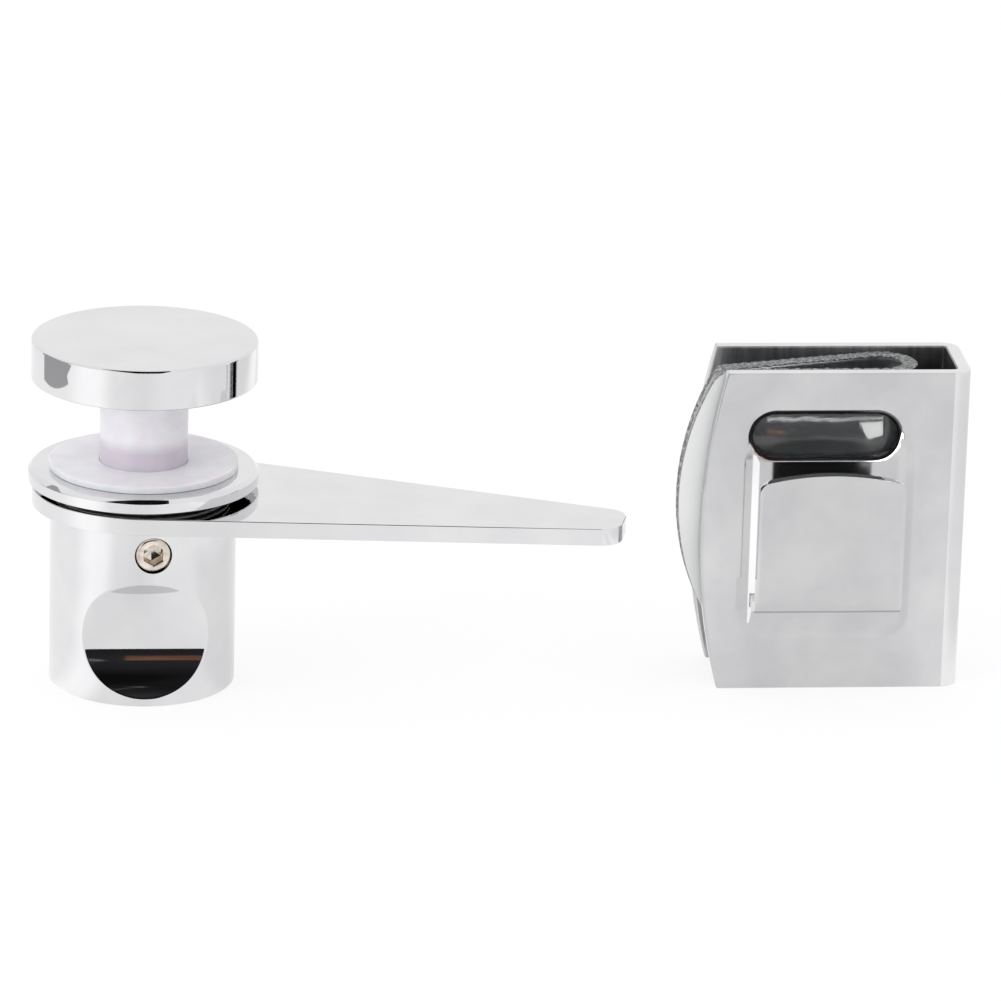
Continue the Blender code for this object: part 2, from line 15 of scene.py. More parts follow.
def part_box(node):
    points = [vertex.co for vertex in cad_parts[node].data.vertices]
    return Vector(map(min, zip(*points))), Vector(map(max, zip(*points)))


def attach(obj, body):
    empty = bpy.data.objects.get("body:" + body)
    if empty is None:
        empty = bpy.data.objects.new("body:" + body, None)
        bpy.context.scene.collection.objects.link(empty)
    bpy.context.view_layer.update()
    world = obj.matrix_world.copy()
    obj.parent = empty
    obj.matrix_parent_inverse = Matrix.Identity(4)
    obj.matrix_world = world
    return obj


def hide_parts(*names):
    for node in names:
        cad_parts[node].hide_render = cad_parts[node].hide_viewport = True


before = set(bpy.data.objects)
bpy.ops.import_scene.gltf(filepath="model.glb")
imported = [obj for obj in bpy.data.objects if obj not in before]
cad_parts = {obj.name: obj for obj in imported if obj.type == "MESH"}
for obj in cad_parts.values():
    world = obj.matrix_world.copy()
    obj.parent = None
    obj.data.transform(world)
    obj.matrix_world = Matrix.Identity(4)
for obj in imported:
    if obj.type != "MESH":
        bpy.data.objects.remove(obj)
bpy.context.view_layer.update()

# Knob
# Turned from a brass bar, with a finger scoop milled into two sides, then polished and chromed.
# The lever is keyed to its boss, and the bore below turns on the flange's spigot.

MM = 0.001


def box_mm(name):
    """Lowest and highest corner of a frame piece, in millimetres."""
    return np.array(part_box(name)) / MM


def linear(colour):
    """An sRGB hex colour such as E6E8EA as linear red, green, blue and alpha 1: each channel is
    ((c + 0.055) / 1.055) to the power 2.4, or c / 12.92 where it is dark."""
    channel = np.array([int(colour[start:start + 2], 16) for start in (0, 2, 4)]) / 255
    curve = np.where(channel <= 0.04045, channel / 12.92, ((channel + 0.055) / 1.055) ** 2.4)
    return (*curve.tolist(), 1.0)


def add_node(tree, kind, inputs=None, **settings):
    """Add one node: inputs maps a socket to its value, or to the output socket that feeds it."""
    item = tree.nodes.new(kind)
    for name, value in settings.items():
        setattr(item, name, value)
    for socket, value in (inputs or {}).items():
        if isinstance(value, bpy.types.NodeSocket):
            tree.links.new(value, item.inputs[socket])
        else:
            item.inputs[socket].default_value = value
    return item


def noise(tree, place, size, detail=2.0, roughness=0.5):
    """Noise whose patches are about size mm across."""
    settings = {"Vector": place, "Scale": 1 / (size * MM), "Detail": detail, "Roughness": roughness}
    return add_node(tree, "ShaderNodeTexNoise", settings).outputs["Fac"]


def two_tones(tree, factor, low, high, low_at=0.0, high_at=1.0):
    """Colour that runs from one sRGB hex tone to another between two values of the factor."""
    ramp = add_node(tree, "ShaderNodeValToRGB", {"Fac": factor})
    for stop, position, tone in zip(ramp.color_ramp.elements, (low_at, high_at), (low, high)):
        stop.position = position
        stop.color = linear(tone)
    return ramp.outputs["Color"]


def mapped(tree, value, start, end, start_to=0.0, end_to=1.0):
    """The value's range from start to end, carried over to another range and held beyond it."""
    ends = {"Value": value, "From Min": start, "From Max": end, "To Min": start_to, "To Max": end_to}
    return add_node(tree, "ShaderNodeMapRange", ends).outputs["Result"]


def calculated(tree, operation, *values):
    """Result of one calculation with one to three values."""
    return add_node(tree, "ShaderNodeMath", dict(enumerate(values)), operation=operation).outputs[0]


def mixed(tree, factor, low, high, blend="MIX"):
    """Colour blended from two by a factor. The sockets of this node go by number, because each
    of its kinds of value has a pair of the same name."""
    settings = {0: factor, 6: low, 7: high}
    return add_node(tree, "ShaderNodeMix", settings, data_type="RGBA", blend_type=blend).outputs[2]


def bumps(tree, height, strength, distance):
    """Shading direction of a relief that is distance mm high."""
    relief = {"Height": height, "Strength": strength, "Distance": distance * MM}
    return add_node(tree, "ShaderNodeBump", relief).outputs["Normal"]


def new_material(name):
    """An empty material, its node tree and the object's own coordinates for its textures."""
    material = bpy.data.materials.new(name)
    material.use_nodes = True
    tree = material.node_tree
    tree.nodes.clear()
    return material, tree, add_node(tree, "ShaderNodeTexCoord").outputs["Object"]


def finished(material, kind, inputs):
    """The material, with one kind of shader as its surface."""
    tree = material.node_tree
    add_node(tree, "ShaderNodeOutputMaterial", {"Surface": add_node(tree, kind, inputs).outputs[0]})
    return material


def sheet_faces(rows, columns, closed=False):
    """Quads of a rows by columns grid of points, whose columns may close to a ring."""
    starts = np.arange(columns if closed else columns - 1)
    row, column = np.meshgrid(np.arange(rows - 1), starts, indexing="ij")
    here, beside = row * columns + column, row * columns + (column + 1) % columns
    return np.stack((here, beside, beside + columns, here + columns), axis=-1).reshape(-1, 4)


def new_piece(name, patches, material):
    """Join patches, each (points in mm, quads), to one closed smooth mesh; patches share edges,
    so equal points are merged, which also closes the poles."""
    points, quads, start = [], [], 0
    for patch_points, patch_quads in patches:
        points.append(patch_points.reshape(-1, 3))
        quads.append(patch_quads + start)
        start += len(points[-1])
    mesh = bpy.data.meshes.new(name)
    mesh.from_pydata((np.concatenate(points) * MM).tolist(), [], np.concatenate(quads).tolist())
    shape = bmesh.new()
    shape.from_mesh(mesh)
    bmesh.ops.remove_doubles(shape, verts=shape.verts, dist=0.0005 * MM)
    bmesh.ops.dissolve_degenerate(shape, edges=shape.edges, dist=0.0001 * MM)
    bmesh.ops.recalc_face_normals(shape, faces=shape.faces)
    shape.to_mesh(mesh)
    shape.free()
    mesh.shade_smooth()
    mesh.materials.append(material)
    item = bpy.data.objects.new(name, mesh)
    bpy.context.scene.collection.objects.link(item)
    return item


def even_shading(item):
    """Wide flat faces keep their own direction, and only the narrow rounded edges shade round."""
    modifier = item.modifiers.new("even_shading", "WEIGHTED_NORMAL")
    modifier.mode = "FACE_AREA"
    modifier.weight = 60


def rounded(corners, steps=6):
    """Closed outline of (a, b, fillet) corners: a fillet is an arc tangent to both sides, swept
    from one tangent point to the other; corners without one stay sharp."""
    points = []
    for index, (a, b, fillet) in enumerate(corners):
        here = np.array((a, b))
        if fillet == 0:
            points.append(here[None])
            continue
        back = np.array(corners[index - 1][:2]) - here
        ahead = np.array(corners[(index + 1) % len(corners)][:2]) - here
        back = back / np.linalg.norm(back)
        ahead = ahead / np.linalg.norm(ahead)
        half = np.arccos(np.clip(back @ ahead, -1, 1)) / 2
        bisector = (back + ahead) / np.linalg.norm(back + ahead)
        centre = here + bisector * fillet / np.sin(half)
        start = here + back * fillet / np.tan(half) - centre
        end = here + ahead * fillet / np.tan(half) - centre
        sweep = pi - 2 * half
        turn = np.linspace(0, 1, steps + 1)[:, None] * sweep
        points.append(centre + (np.sin(sweep - turn) * start + np.sin(turn) * end) / np.sin(sweep))
    return np.concatenate(points)


def around(radius, turn, height):
    """Points (r cos t, r sin t, z) for radii, turns about the Z axis and heights."""
    radius, turn, height = np.broadcast_arrays(radius, turn, height)
    return np.stack((radius * np.cos(turn), radius * np.sin(turn), height), axis=-1)


def turned_rows(rows, turn):
    """A ring of points for each (radius, height); a radius may differ from turn to turn."""
    return np.stack([around(radius, turn, height) for radius, height in rows])


def revolved(profile, segments=256):
    """Turn a profile of (radius, z) points about the Z axis."""
    turn = np.arange(segments) * 2 * pi / segments
    return turned_rows(profile, turn), sheet_faces(len(profile), segments, closed=True)


def closed_ring(corners, segments=256):
    """A turned ring from its closed section."""
    outline = rounded(corners)
    return revolved(np.concatenate((outline, outline[:1])), segments)


def polished_chrome(name, colour, smudge_colour, smudge_size, rough_low, rough_high):
    """Mirror-polished chrome plate: a smooth metal with faint cloudy smudges, whose reflections
    waver a little over 7 mm or so, where the polishing wheel ran."""
    material, tree, place = new_material(name)
    cloud = noise(tree, place, smudge_size, 4.0, 0.55)
    return finished(material, "ShaderNodeBsdfPrincipled", {
        "Base Color": two_tones(tree, cloud, colour, smudge_colour, 0.35, 0.65),
        "Metallic": 1.0,
        "Roughness": mapped(tree, cloud, 0.3, 0.7, rough_low, rough_high),
        "Normal": bumps(tree, noise(tree, place, 7, 1.0), 0.02, 0.2),
    })


chrome = polished_chrome("polished_chrome", "E1E1E2", "DBDBDD", 9, 0.025, 0.05)

SEAT_GAP = 0.25
knob_high = box_mm("knob")[1]
lever_low, lever_high = box_mm("lever")
KNOB_R = knob_high[0]
KNOB_TOP = lever_low[2] - SEAT_GAP
KNOB_END_ROUND = 0.4
KNOB_TOP_ROUND = 0.15
KNOB_TURN = radians(-0.4)
SCOOP_R = 11.5
SCOOP_DEPTH = 3.2
SCOOP_Z = 9.15
SCOOP_LIP = 0.16
SCOOP_AXIS = KNOB_R - SCOOP_DEPTH + SCOOP_R
BOSS_R = 9.0
BOSS_FLATS = 15.6
BOSS_FOOT, BOSS_CHAMFER = 0.1, 0.2
BORE_R = 6.3
BORE_FLOOR = 14.55
LEVER_YAW = radians(-14.5)
PANEL_HALF = radians(60)
PANEL_COLUMNS = 128
PANEL_ROWS = 112


def knob_radius(angle, height):
    """Knob's radius towards an angle off the scoop's middle: the bar's radius R, or where it is
    less the scoop's flat-across surface d(z) / cos(angle), with d(z) = a - sqrt(r^2 - (z - z0)^2);
    the two are blended over a narrow band, which rounds the scoop's lip."""
    across = SCOOP_AXIS - np.sqrt(np.maximum(SCOOP_R ** 2 - (height - SCOOP_Z) ** 2, 0))
    scoop = across / np.maximum(np.cos(angle), 0.05)
    scoop = np.where(np.abs(height - SCOOP_Z) < SCOOP_R, scoop, 2 * KNOB_R)
    near = np.maximum(SCOOP_LIP - np.abs(scoop - KNOB_R), 0) / SCOOP_LIP
    return np.minimum(scoop, KNOB_R) - near ** 2 * SCOOP_LIP / 4


def knob_point(angle, height, facing):
    """Point of the knob's wall, with angles counted from the scoop that looks along facing."""
    return around(knob_radius(angle, height), facing + angle, height)


def scoop_panel(facing, low_z, high_z):
    """Wall panel round one scoop: rays run from the scoop's middle to the panel's border, and the
    rows along them crowd at the lip, whose place on each ray is found by halving."""
    side_a = np.linspace(-1, 1, PANEL_COLUMNS + 1)[:-1]
    side_z = np.linspace(0, 1, PANEL_ROWS + 1)[:-1]
    border_a = np.concatenate((side_a, np.ones(PANEL_ROWS), -side_a, -np.ones(PANEL_ROWS))) * PANEL_HALF
    rise = np.concatenate((np.zeros(PANEL_COLUMNS), side_z, np.ones(PANEL_COLUMNS), 1 - side_z))
    border_z = low_z + rise * (high_z - low_z)
    step_a, step_z = border_a, border_z - SCOOP_Z
    inside, outside = np.zeros(len(border_a)), np.ones(len(border_a))
    for _ in range(40):
        middle = (inside + outside) / 2
        height = np.minimum(np.abs(middle * step_z), SCOOP_R)
        cut = (SCOOP_AXIS - np.sqrt(SCOOP_R ** 2 - height ** 2)) / np.cos(middle * step_a) < KNOB_R
        inside, outside = np.where(cut, middle, inside), np.where(cut, outside, middle)
    reach = np.hypot(step_a * KNOB_R, step_z)
    lip = 1.6 * SCOOP_LIP * np.linspace(-1, 1, 15)[:, None] / reach
    bowl = np.linspace(0, 1, 22)[:-1, None] * (inside + lip[0])
    rim = inside + lip
    wall = rim[-1] + np.linspace(0, 1, 14)[1:, None] * (1 - rim[-1])
    along = np.concatenate((bowl, rim, wall))
    grid = knob_point(along * step_a, SCOOP_Z + along * step_z, facing)
    return grid, sheet_faces(len(along), len(border_a), closed=True)


def plain_panel(facing, low_z, high_z):
    """Wall between the two scoop panels, as wide again as half of one."""
    angle = np.linspace(-1, 1, PANEL_COLUMNS // 2 + 1) * PANEL_HALF / 2
    height = np.linspace(low_z, high_z, PANEL_ROWS + 1)
    return around(KNOB_R, *np.meshgrid(facing + angle, height)), sheet_faces(len(height), len(angle))


def knob_ends(segments):
    """End face, and the top with its double-D boss and the bore; the boss's outline is its radius,
    or half the flats over the sine of the angle off the flats where that is less."""
    turn = KNOB_TURN + np.arange(segments) * 2 * pi / segments
    end = rounded(((0, 0, 0), (KNOB_R, 0, KNOB_END_ROUND), (KNOB_R, KNOB_TOP / 2, 0)))[:-1]
    off_flats = np.maximum(np.abs(np.sin(turn - LEVER_YAW)), 0.01)
    boss = np.minimum(BOSS_R, BOSS_FLATS / 2 / off_flats)
    boss_top = knob_high[2]
    shoulder = ((KNOB_R, KNOB_TOP / 2, 0), (KNOB_R, KNOB_TOP, KNOB_TOP_ROUND), (BOSS_R + 1, KNOB_TOP, 0))
    top = list(rounded(shoulder)[1:])
    top += [(boss + BOSS_FOOT, KNOB_TOP), (boss, KNOB_TOP + BOSS_FOOT)]
    top += [(boss, boss_top - BOSS_CHAMFER), (boss - BOSS_CHAMFER, boss_top)]
    top += [(BORE_R + BOSS_CHAMFER, boss_top), (BORE_R, boss_top - BOSS_CHAMFER)]
    top += [(BORE_R, BORE_FLOOR), (0, BORE_FLOOR)]
    return [(turned_rows(rows, turn), sheet_faces(len(rows), segments, closed=True)) for rows in (end, top)]


def settled(item):
    """Make the modified shape the mesh itself."""
    graph = bpy.context.evaluated_depsgraph_get()
    mesh = bpy.data.meshes.new_from_object(item.evaluated_get(graph))
    item.modifiers.clear()
    item.data = mesh


def cut_or_join(item, other, operation):
    """Exact Boolean with a helper shape, which leaves its finish on the new faces and is then
    removed."""
    modifier = item.modifiers.new("shape", "BOOLEAN")
    modifier.operation = operation
    modifier.material_mode = "TRANSFER"
    modifier.object = other
    settled(item)
    bpy.data.objects.remove(other)


def cylinder_shading(mesh, radius, low_z, high_z):
    """Give faces that lie on a cylinder about Z its own directions, (x, y, 0) / r, because the
    slivers that a cut leaves round a hole would tilt them; a zero keeps Blender's direction."""
    place = np.empty(3 * len(mesh.vertices))
    mesh.vertices.foreach_get("co", place)
    place = place.reshape(-1, 3) / MM
    reach = np.hypot(place[:, 0], place[:, 1])
    on_wall = (reach > radius - 0.004) & (place[:, 2] > low_z) & (place[:, 2] < high_z)
    outward = place * (1, 1, 0) / np.maximum(reach, 1)[:, None]
    directions = np.zeros((len(mesh.loops), 3))
    for face in mesh.polygons:
        if on_wall[list(face.vertices)].all():
            directions[list(face.loop_indices)] = outward[list(face.vertices)]
    mesh.normals_split_custom_set(directions.tolist())


def towards_grub(points):
    """Turn a shape made about Z so that its axis lies along the grub screw's, out of the knob."""
    sine, cosine = np.sin(GRUB_TURN), np.cos(GRUB_TURN)
    x, y, z = points[..., 0], points[..., 1], points[..., 2]
    return np.stack((x * cosine + z * sine, x * sine - z * cosine, y + GRUB_Z), axis=-1)


GRUB_Z = 21.1
GRUB_TURN = radians(3.8)
GRUB_R = 2.35
GRUB_HOLE_R = GRUB_R + 0.12

wall_low, wall_high = KNOB_END_ROUND, KNOB_TOP - KNOB_TOP_ROUND
front, back = KNOB_TURN - pi / 2, KNOB_TURN + pi / 2
patches = [scoop_panel(front, wall_low, wall_high), scoop_panel(back, wall_low, wall_high)]
patches += [plain_panel(front + pi / 2, wall_low, wall_high), plain_panel(back + pi / 2, wall_low, wall_high)]
patches += knob_ends(3 * PANEL_COLUMNS)
knob = new_piece("polished_knob", patches, chrome)
inner_end, outer_end = BORE_R / 2, KNOB_R + 1
hole = ((0, inner_end), (GRUB_HOLE_R, inner_end), (GRUB_HOLE_R, outer_end), (0, outer_end))
drill, drill_faces = revolved(hole, 96)
cut_or_join(knob, new_piece("drill", [(towards_grub(drill), drill_faces)], chrome), "DIFFERENCE")
knob.data.set_sharp_from_angle(angle=radians(35))
cylinder_shading(knob.data, KNOB_R, wall_low + 0.05, wall_high - 0.05)
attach(knob, "handle")
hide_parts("knob")

# Grub screw
# An M5 socket screw in nickel-plated steel with a 2.5 mm hexagon. It is screwed into the knob
# from the front, and its tip runs in the spigot's groove, so the knob turns but can't come off.

HEX = 2.5
HEX_DEPTH = 2.2
GRUB_SINK = 0.3
GRUB_TIP_R = 1.3
GRUB_TIP_START = 5.25
GRUB_TIP_CHAMFER = 0.2
GRUB_BODY_START = 7.3
GRUB_NECK = 0.6
GRUB_HEAD_HEIGHT, GRUB_HEAD_ROUND = 0.55, 0.42
M5_PITCH = 0.8
M5_DEPTH, M5_RUNOUT = 0.3, 0.3


def warm_nickel():
    """Nickel plate on steel: warmer and duller than chrome, cloudy over about a millimetre."""
    material, tree, place = new_material("nickel_screw")
    cloud = noise(tree, place, 0.9, 5.0)
    return finished(material, "ShaderNodeBsdfPrincipled", {
        "Base Color": two_tones(tree, cloud, "C9BDB0", "F0E8DE", 0.3, 0.7),
        "Metallic": 1.0,
        "Roughness": 0.16,
        "Normal": bumps(tree, cloud, 0.1, 0.1),
    })


def thread_wave(height, pitch, turn):
    """Depth of a thread between 0 at its crest and 1 at its root: a triangle wave along the
    height, which rises by one pitch in each turn."""
    return np.abs(((height / pitch - turn / (2 * pi)) % 1) * 2 - 1)


def grub_shape(segments=144, rows_a_pitch=10):
    """Rows of (radius along the turn, height): plain tip, body with its thread, rounded head, then
    down the hexagon r = (across / 2) / cos(turn off a flat) to a drilled cone."""
    turn = np.arange(segments) * 2 * pi / segments
    head = KNOB_R - GRUB_SINK
    body_end = head - GRUB_HEAD_HEIGHT
    rows = [(0, GRUB_TIP_START), (GRUB_TIP_R - GRUB_TIP_CHAMFER, GRUB_TIP_START)]
    rows += [(GRUB_TIP_R, GRUB_TIP_START + GRUB_TIP_CHAMFER), (GRUB_TIP_R, GRUB_BODY_START - GRUB_NECK)]
    body_rows = int((head - GRUB_BODY_START) / M5_PITCH * rows_a_pitch)
    for height in np.linspace(GRUB_BODY_START, body_end, body_rows):
        fade = np.clip(min(height - GRUB_BODY_START, body_end - height) / M5_RUNOUT, 0, 1)
        rows.append((GRUB_R - M5_DEPTH * thread_wave(height, M5_PITCH, turn) * fade, height))
    for angle in np.linspace(0, pi / 2, 7):
        inset, drop = 1 - np.cos(angle), 1 - np.sin(angle)
        rows.append((GRUB_R - GRUB_HEAD_ROUND * inset, head - GRUB_HEAD_ROUND * drop))
    hexagon = HEX / 2 / np.cos((turn + pi / 6) % (pi / 3) - pi / 6)
    socket_end = head - HEX_DEPTH
    rows += [(hexagon + 0.12, head), (hexagon + 0.04, head - 0.03), (hexagon, head - 0.12)]
    rows += [(hexagon, socket_end), (hexagon * 0.98, socket_end - 0.01), (0, socket_end - 0.5)]
    return turned_rows(rows, turn), sheet_faces(len(rows), segments, closed=True)


grub_grid, grub_faces = grub_shape()
grub = new_piece("socket_grub_screw", [(towards_grub(grub_grid), grub_faces)], warm_nickel())
grub.data.set_sharp_from_angle(angle=radians(40))
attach(grub, "handle")
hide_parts("grub_screw")

# Lever
# A flat plate milled to a long taper, with a double-D hole that keys it to the knob's boss.
# Its edges are only just broken, then all of it is polished and chromed.

LEVER_HUB_R = 14.8
LEVER_REACH = 64.5
LEVER_TIP_WIDTH = 9.0
LEVER_TIP_CORNER = 3.0
LEVER_EDGE = 0.12
HOLE_GAP = 0.3


def arc_points(centre, radius, start, end, steps):
    """Points of an arc, both ends included, with their outward directions."""
    turn = np.linspace(start, end, steps + 1)
    direction = np.stack((np.cos(turn), np.sin(turn)), axis=-1)
    return np.array(centre) + radius * direction, direction


def lever_outline():
    """Round tip corners and hub joined by their common tangents: at each point the outward
    direction is that of the arc, so an even inset is the point less that direction."""
    corner_x, corner_y = LEVER_REACH - LEVER_TIP_CORNER, LEVER_TIP_WIDTH / 2 - LEVER_TIP_CORNER
    lean = np.arctan2(corner_y, corner_x)
    tangent = lean + np.arccos((LEVER_HUB_R - LEVER_TIP_CORNER) / np.hypot(corner_x, corner_y))
    lower = arc_points((corner_x, -corner_y), LEVER_TIP_CORNER, -tangent, 0, 24)
    upper = arc_points((corner_x, corner_y), LEVER_TIP_CORNER, 0, tangent, 24)
    hub = arc_points((0, 0), LEVER_HUB_R, tangent, 2 * pi - tangent, 200)
    return np.concatenate((lower[0], upper[0], hub[0])), np.concatenate((lower[1], upper[1], hub[1]))


def lever_shape():
    """Outline carried round the rounded edge, then in to the hole on both faces; a hole point lies
    on the same ray from the hub's centre as its outline point."""
    outline, outward = lever_outline()
    ray = np.arctan2(outline[:, 1], outline[:, 0])
    flats = np.maximum(np.abs(np.sin(ray)), 0.01)
    hole_r = np.minimum(BOSS_R + HOLE_GAP, (BOSS_FLATS / 2 + HOLE_GAP) / flats)
    hole_line = hole_r[:, None] * np.stack((np.cos(ray), np.sin(ray)), axis=-1)
    low, high = lever_low[2], lever_high[2]
    face = outline - LEVER_EDGE * outward - hole_line
    parts = np.linspace(0.02, 1, 9)
    turns = np.linspace(0, pi / 2, 7)
    rows = [(hole_line, low + LEVER_EDGE)]
    rows += [(hole_line + part * face, low) for part in parts]
    for angle in -turns[-2::-1]:
        edge = outline + LEVER_EDGE * (np.cos(angle) - 1) * outward
        rows.append((edge, low + LEVER_EDGE * (1 + np.sin(angle))))
    for angle in turns:
        edge = outline + LEVER_EDGE * (np.cos(angle) - 1) * outward
        rows.append((edge, high - LEVER_EDGE * (1 - np.sin(angle))))
    rows += [(hole_line + part * face, high) for part in parts[-2::-1]]
    rows += [(hole_line, high - LEVER_EDGE), (hole_line, low + LEVER_EDGE)]
    grid = np.stack([np.column_stack((line, np.full(len(line), height))) for line, height in rows])
    x, y = grid[..., 0].copy(), grid[..., 1].copy()
    grid[..., 0] = x * np.cos(LEVER_YAW) - y * np.sin(LEVER_YAW)
    grid[..., 1] = x * np.sin(LEVER_YAW) + y * np.cos(LEVER_YAW)
    return grid, sheet_faces(len(rows), len(outline), closed=True)


lever = new_piece("polished_lever", [lever_shape()], chrome)
even_shading(lever)
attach(lever, "handle")
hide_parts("lever")

# Flange
# Turned in one with the spigot that the knob turns on, polished and chromed. It lies against the
# plastic washer on the near face of the glass, and the groove in its spigot takes the grub screw.

flange_low, flange_high = box_mm("flange")
FLANGE_R = flange_high[0]
FLANGE_BOTTOM = lever_high[2] + 2 * SEAT_GAP + 0.3
FLANGE_CHAMFER = 0.5
EDGE = 0.1
SPIGOT_R = 6.0
SPIGOT_CHAMFER = 0.6
GROOVE_HALF = 1.7
GROOVE_R = SPIGOT_R - 1
STUD_HOLE_R = 3.3

flange_section = (
    (STUD_HOLE_R, flange_low[2], EDGE), (SPIGOT_R - SPIGOT_CHAMFER, flange_low[2], EDGE),
    (SPIGOT_R, flange_low[2] + SPIGOT_CHAMFER, EDGE), (SPIGOT_R, GRUB_Z - GROOVE_HALF, EDGE),
    (GROOVE_R, GRUB_Z - GROOVE_HALF, EDGE), (GROOVE_R, GRUB_Z + GROOVE_HALF, EDGE),
    (SPIGOT_R, GRUB_Z + GROOVE_HALF, EDGE), (SPIGOT_R, FLANGE_BOTTOM, 0.2),
    (FLANGE_R, FLANGE_BOTTOM, 0.18), (FLANGE_R, flange_high[2] - FLANGE_CHAMFER, 0.12),
    (FLANGE_R - FLANGE_CHAMFER, flange_high[2], 0.12), (STUD_HOLE_R, flange_high[2], EDGE),
)
flange = new_piece("polished_flange", [closed_ring(flange_section, 320)], chrome)
even_shading(flange)
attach(flange, "glass_mount")
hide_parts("flange")

# Thrust washer
# A thin stamped nylon ring that keeps the turning lever off the flange. Only its edge shows, in
# the narrow gap between them.


def natural_nylon():
    """Uncoloured nylon: waxy, slightly yellow white, with a fine stamped grain of 0.3 mm."""
    material, tree, place = new_material("natural_nylon")
    grain = noise(tree, place, 0.3, 3.0)
    return finished(material, "ShaderNodeBsdfPrincipled", {
        "Base Color": two_tones(tree, grain, "D6D5CE", "E6E5E0"),
        "Roughness": 0.5,
        "IOR": 1.53,
        "Subsurface Weight": 0.2,
        "Subsurface Scale": 0.5 * MM,
        "Normal": bumps(tree, grain, 0.2, 0.05),
    })


def washer(name, node, inner, edge, material, sag=0.0):
    """A plain ring in a frame piece's place: its box gives the outside, and inner the hole. The
    underside of a soft one sags by a fraction of a millimetre onto what it lies on."""
    low, high = box_mm(node)
    outer, under = high[0], low[2] - sag
    section = ((inner, under, edge), (outer, under, edge), (outer, high[2], edge), (inner, high[2], edge))
    ring = new_piece(name, [closed_ring(section, 224)], material)
    even_shading(ring)
    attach(ring, "glass_mount")
    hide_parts(node)
    return ring


thrust = washer("nylon_thrust_washer", "thrust_washer", SPIGOT_R + 0.3, 0.08, natural_nylon())

# Glass washer, hole sleeve and cap gasket
# Moulded in milky translucent plastic, to keep the metal off the glass: a washer on the near face,
# a tube through the hole, and a thin gasket under the cap disc.

SLEEVE_R = box_mm("hole_sleeve")[1][0]
SLEEVE_WALL = 1.25


def milky_plastic(name, shade_tint="FFFFFF", shade_full_below=0.0, shade_gone_above=1.0):
    """Natural low-density plastic: cloudy, light soaks through it, with a faint lilac cast, a soft
    sheen from the mould and cloudy flow patterns a few millimetres long. Below a height the wall's
    colour takes a greyer tint: painted shade, where only the dark stud stands behind it."""
    material, tree, place = new_material(name)
    flow = two_tones(tree, noise(tree, place, 4, 3.0), "E8E6EB", "F3F2F5", 0.3, 0.7)
    height = add_node(tree, "ShaderNodeSeparateXYZ", {"Vector": place}).outputs["Z"]
    # Painted shade: the tint is full below one height and fades out by the next.
    low = mapped(tree, height, shade_full_below * MM, shade_gone_above * MM, 1.0, 0.0)
    return finished(material, "ShaderNodeBsdfPrincipled", {
        "Base Color": mixed(tree, low, flow, linear(shade_tint), "MULTIPLY"),
        "Roughness": 0.32,
        "Transmission Weight": 0.08,
        "IOR": 1.45,
        "Subsurface Weight": 0.4,
        "Subsurface Scale": 0.8 * MM,
        "Normal": bumps(tree, noise(tree, place, 0.25), 0.08, 0.05),
    })


milky = milky_plastic("milky_plastic")
# The sleeve's lower wall gets painted shade, greyer where the dark stud shows through it.
sleeve_milky_shaded = milky_plastic("milky_sleeve_painted_shade", "E2DBE2", 32.8, 34.4)
near_washer = washer("milky_glass_washer", "glass_washer", SLEEVE_R + 0.05, 0.06, milky, sag=SEAT_GAP - 0.015)
gasket = washer("milky_cap_gasket", "cap_gasket", SLEEVE_R + 0.05, 0.1, milky)
sleeve = washer("milky_hole_sleeve", "hole_sleeve", SLEEVE_R - SLEEVE_WALL, 0.15, sleeve_milky_shaded)

# Stud
# A length of M6 threaded rod in zinc-plated steel, screwed into the cap disc's boss and through
# the flange. It shows as a dark core low in the milky sleeve.

STUD_R = 3.0
M6_PITCH = 1.0
M6_DEPTH = 0.5
STUD_CHAMFER = 0.5


def zinc_steel():
    """Rolled steel thread with a dull grey zinc coat, blotchy over a millimetre or so."""
    material, tree, place = new_material("zinc_stud")
    blotches = two_tones(tree, noise(tree, place, 1.2, 4.0), "5E6062", "A6A8AA")
    settings = {"Base Color": blotches, "Metallic": 1.0, "Roughness": 0.38}
    return finished(material, "ShaderNodeBsdfPrincipled", settings)


def threaded_rod(low_z, high_z, segments=72, rows_a_pitch=10):
    """Rows of (radius along the turn, height) up the thread, with chamfered flat ends."""
    turn = np.arange(segments) * 2 * pi / segments
    rows = [(0, low_z)]
    for height in np.linspace(low_z, high_z, int((high_z - low_z) / M6_PITCH * rows_a_pitch)):
        chamfer = max(STUD_CHAMFER - min(height - low_z, high_z - height), 0)
        rows.append((STUD_R - M6_DEPTH * thread_wave(height, M6_PITCH, turn) - chamfer, height))
    rows.append((0, high_z))
    return turned_rows(rows, turn), sheet_faces(len(rows), segments, closed=True)


stud_low, stud_high = box_mm("stud")
stud = new_piece("threaded_stud", [threaded_rod(stud_low[2], stud_high[2])], zinc_steel())
stud.data.set_sharp_from_angle(angle=radians(40))
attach(stud, "glass_mount")
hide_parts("stud")

# Cap disc
# Turned from brass with the boss that reaches into the sleeve, polished and chromed. It closes the
# far side of the glass, and the stud in its boss pulls it and the flange together.

cap_low, cap_high = box_mm("cap_disc")
CAP_R = cap_high[0]
CAP_BOTTOM = box_mm("cap_gasket")[1][2] + SEAT_GAP
CAP_BOSS_R = SLEEVE_R - SLEEVE_WALL - 0.3
CAP_BORE_END = cap_high[2] - 3.0

cap_section = rounded((
    (0, CAP_BORE_END, 0), (STUD_HOLE_R, CAP_BORE_END, EDGE), (STUD_HOLE_R, cap_low[2], EDGE),
    (CAP_BOSS_R, cap_low[2], EDGE), (CAP_BOSS_R, CAP_BOTTOM, EDGE), (CAP_R, CAP_BOTTOM, 0.3),
    (CAP_R, cap_high[2], 0.35), (0, cap_high[2], 0),
))
cap_disc = new_piece("polished_cap_disc", [revolved(cap_section, 320)], chrome)
even_shading(cap_disc)
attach(cap_disc, "glass_mount")
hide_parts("cap_disc")

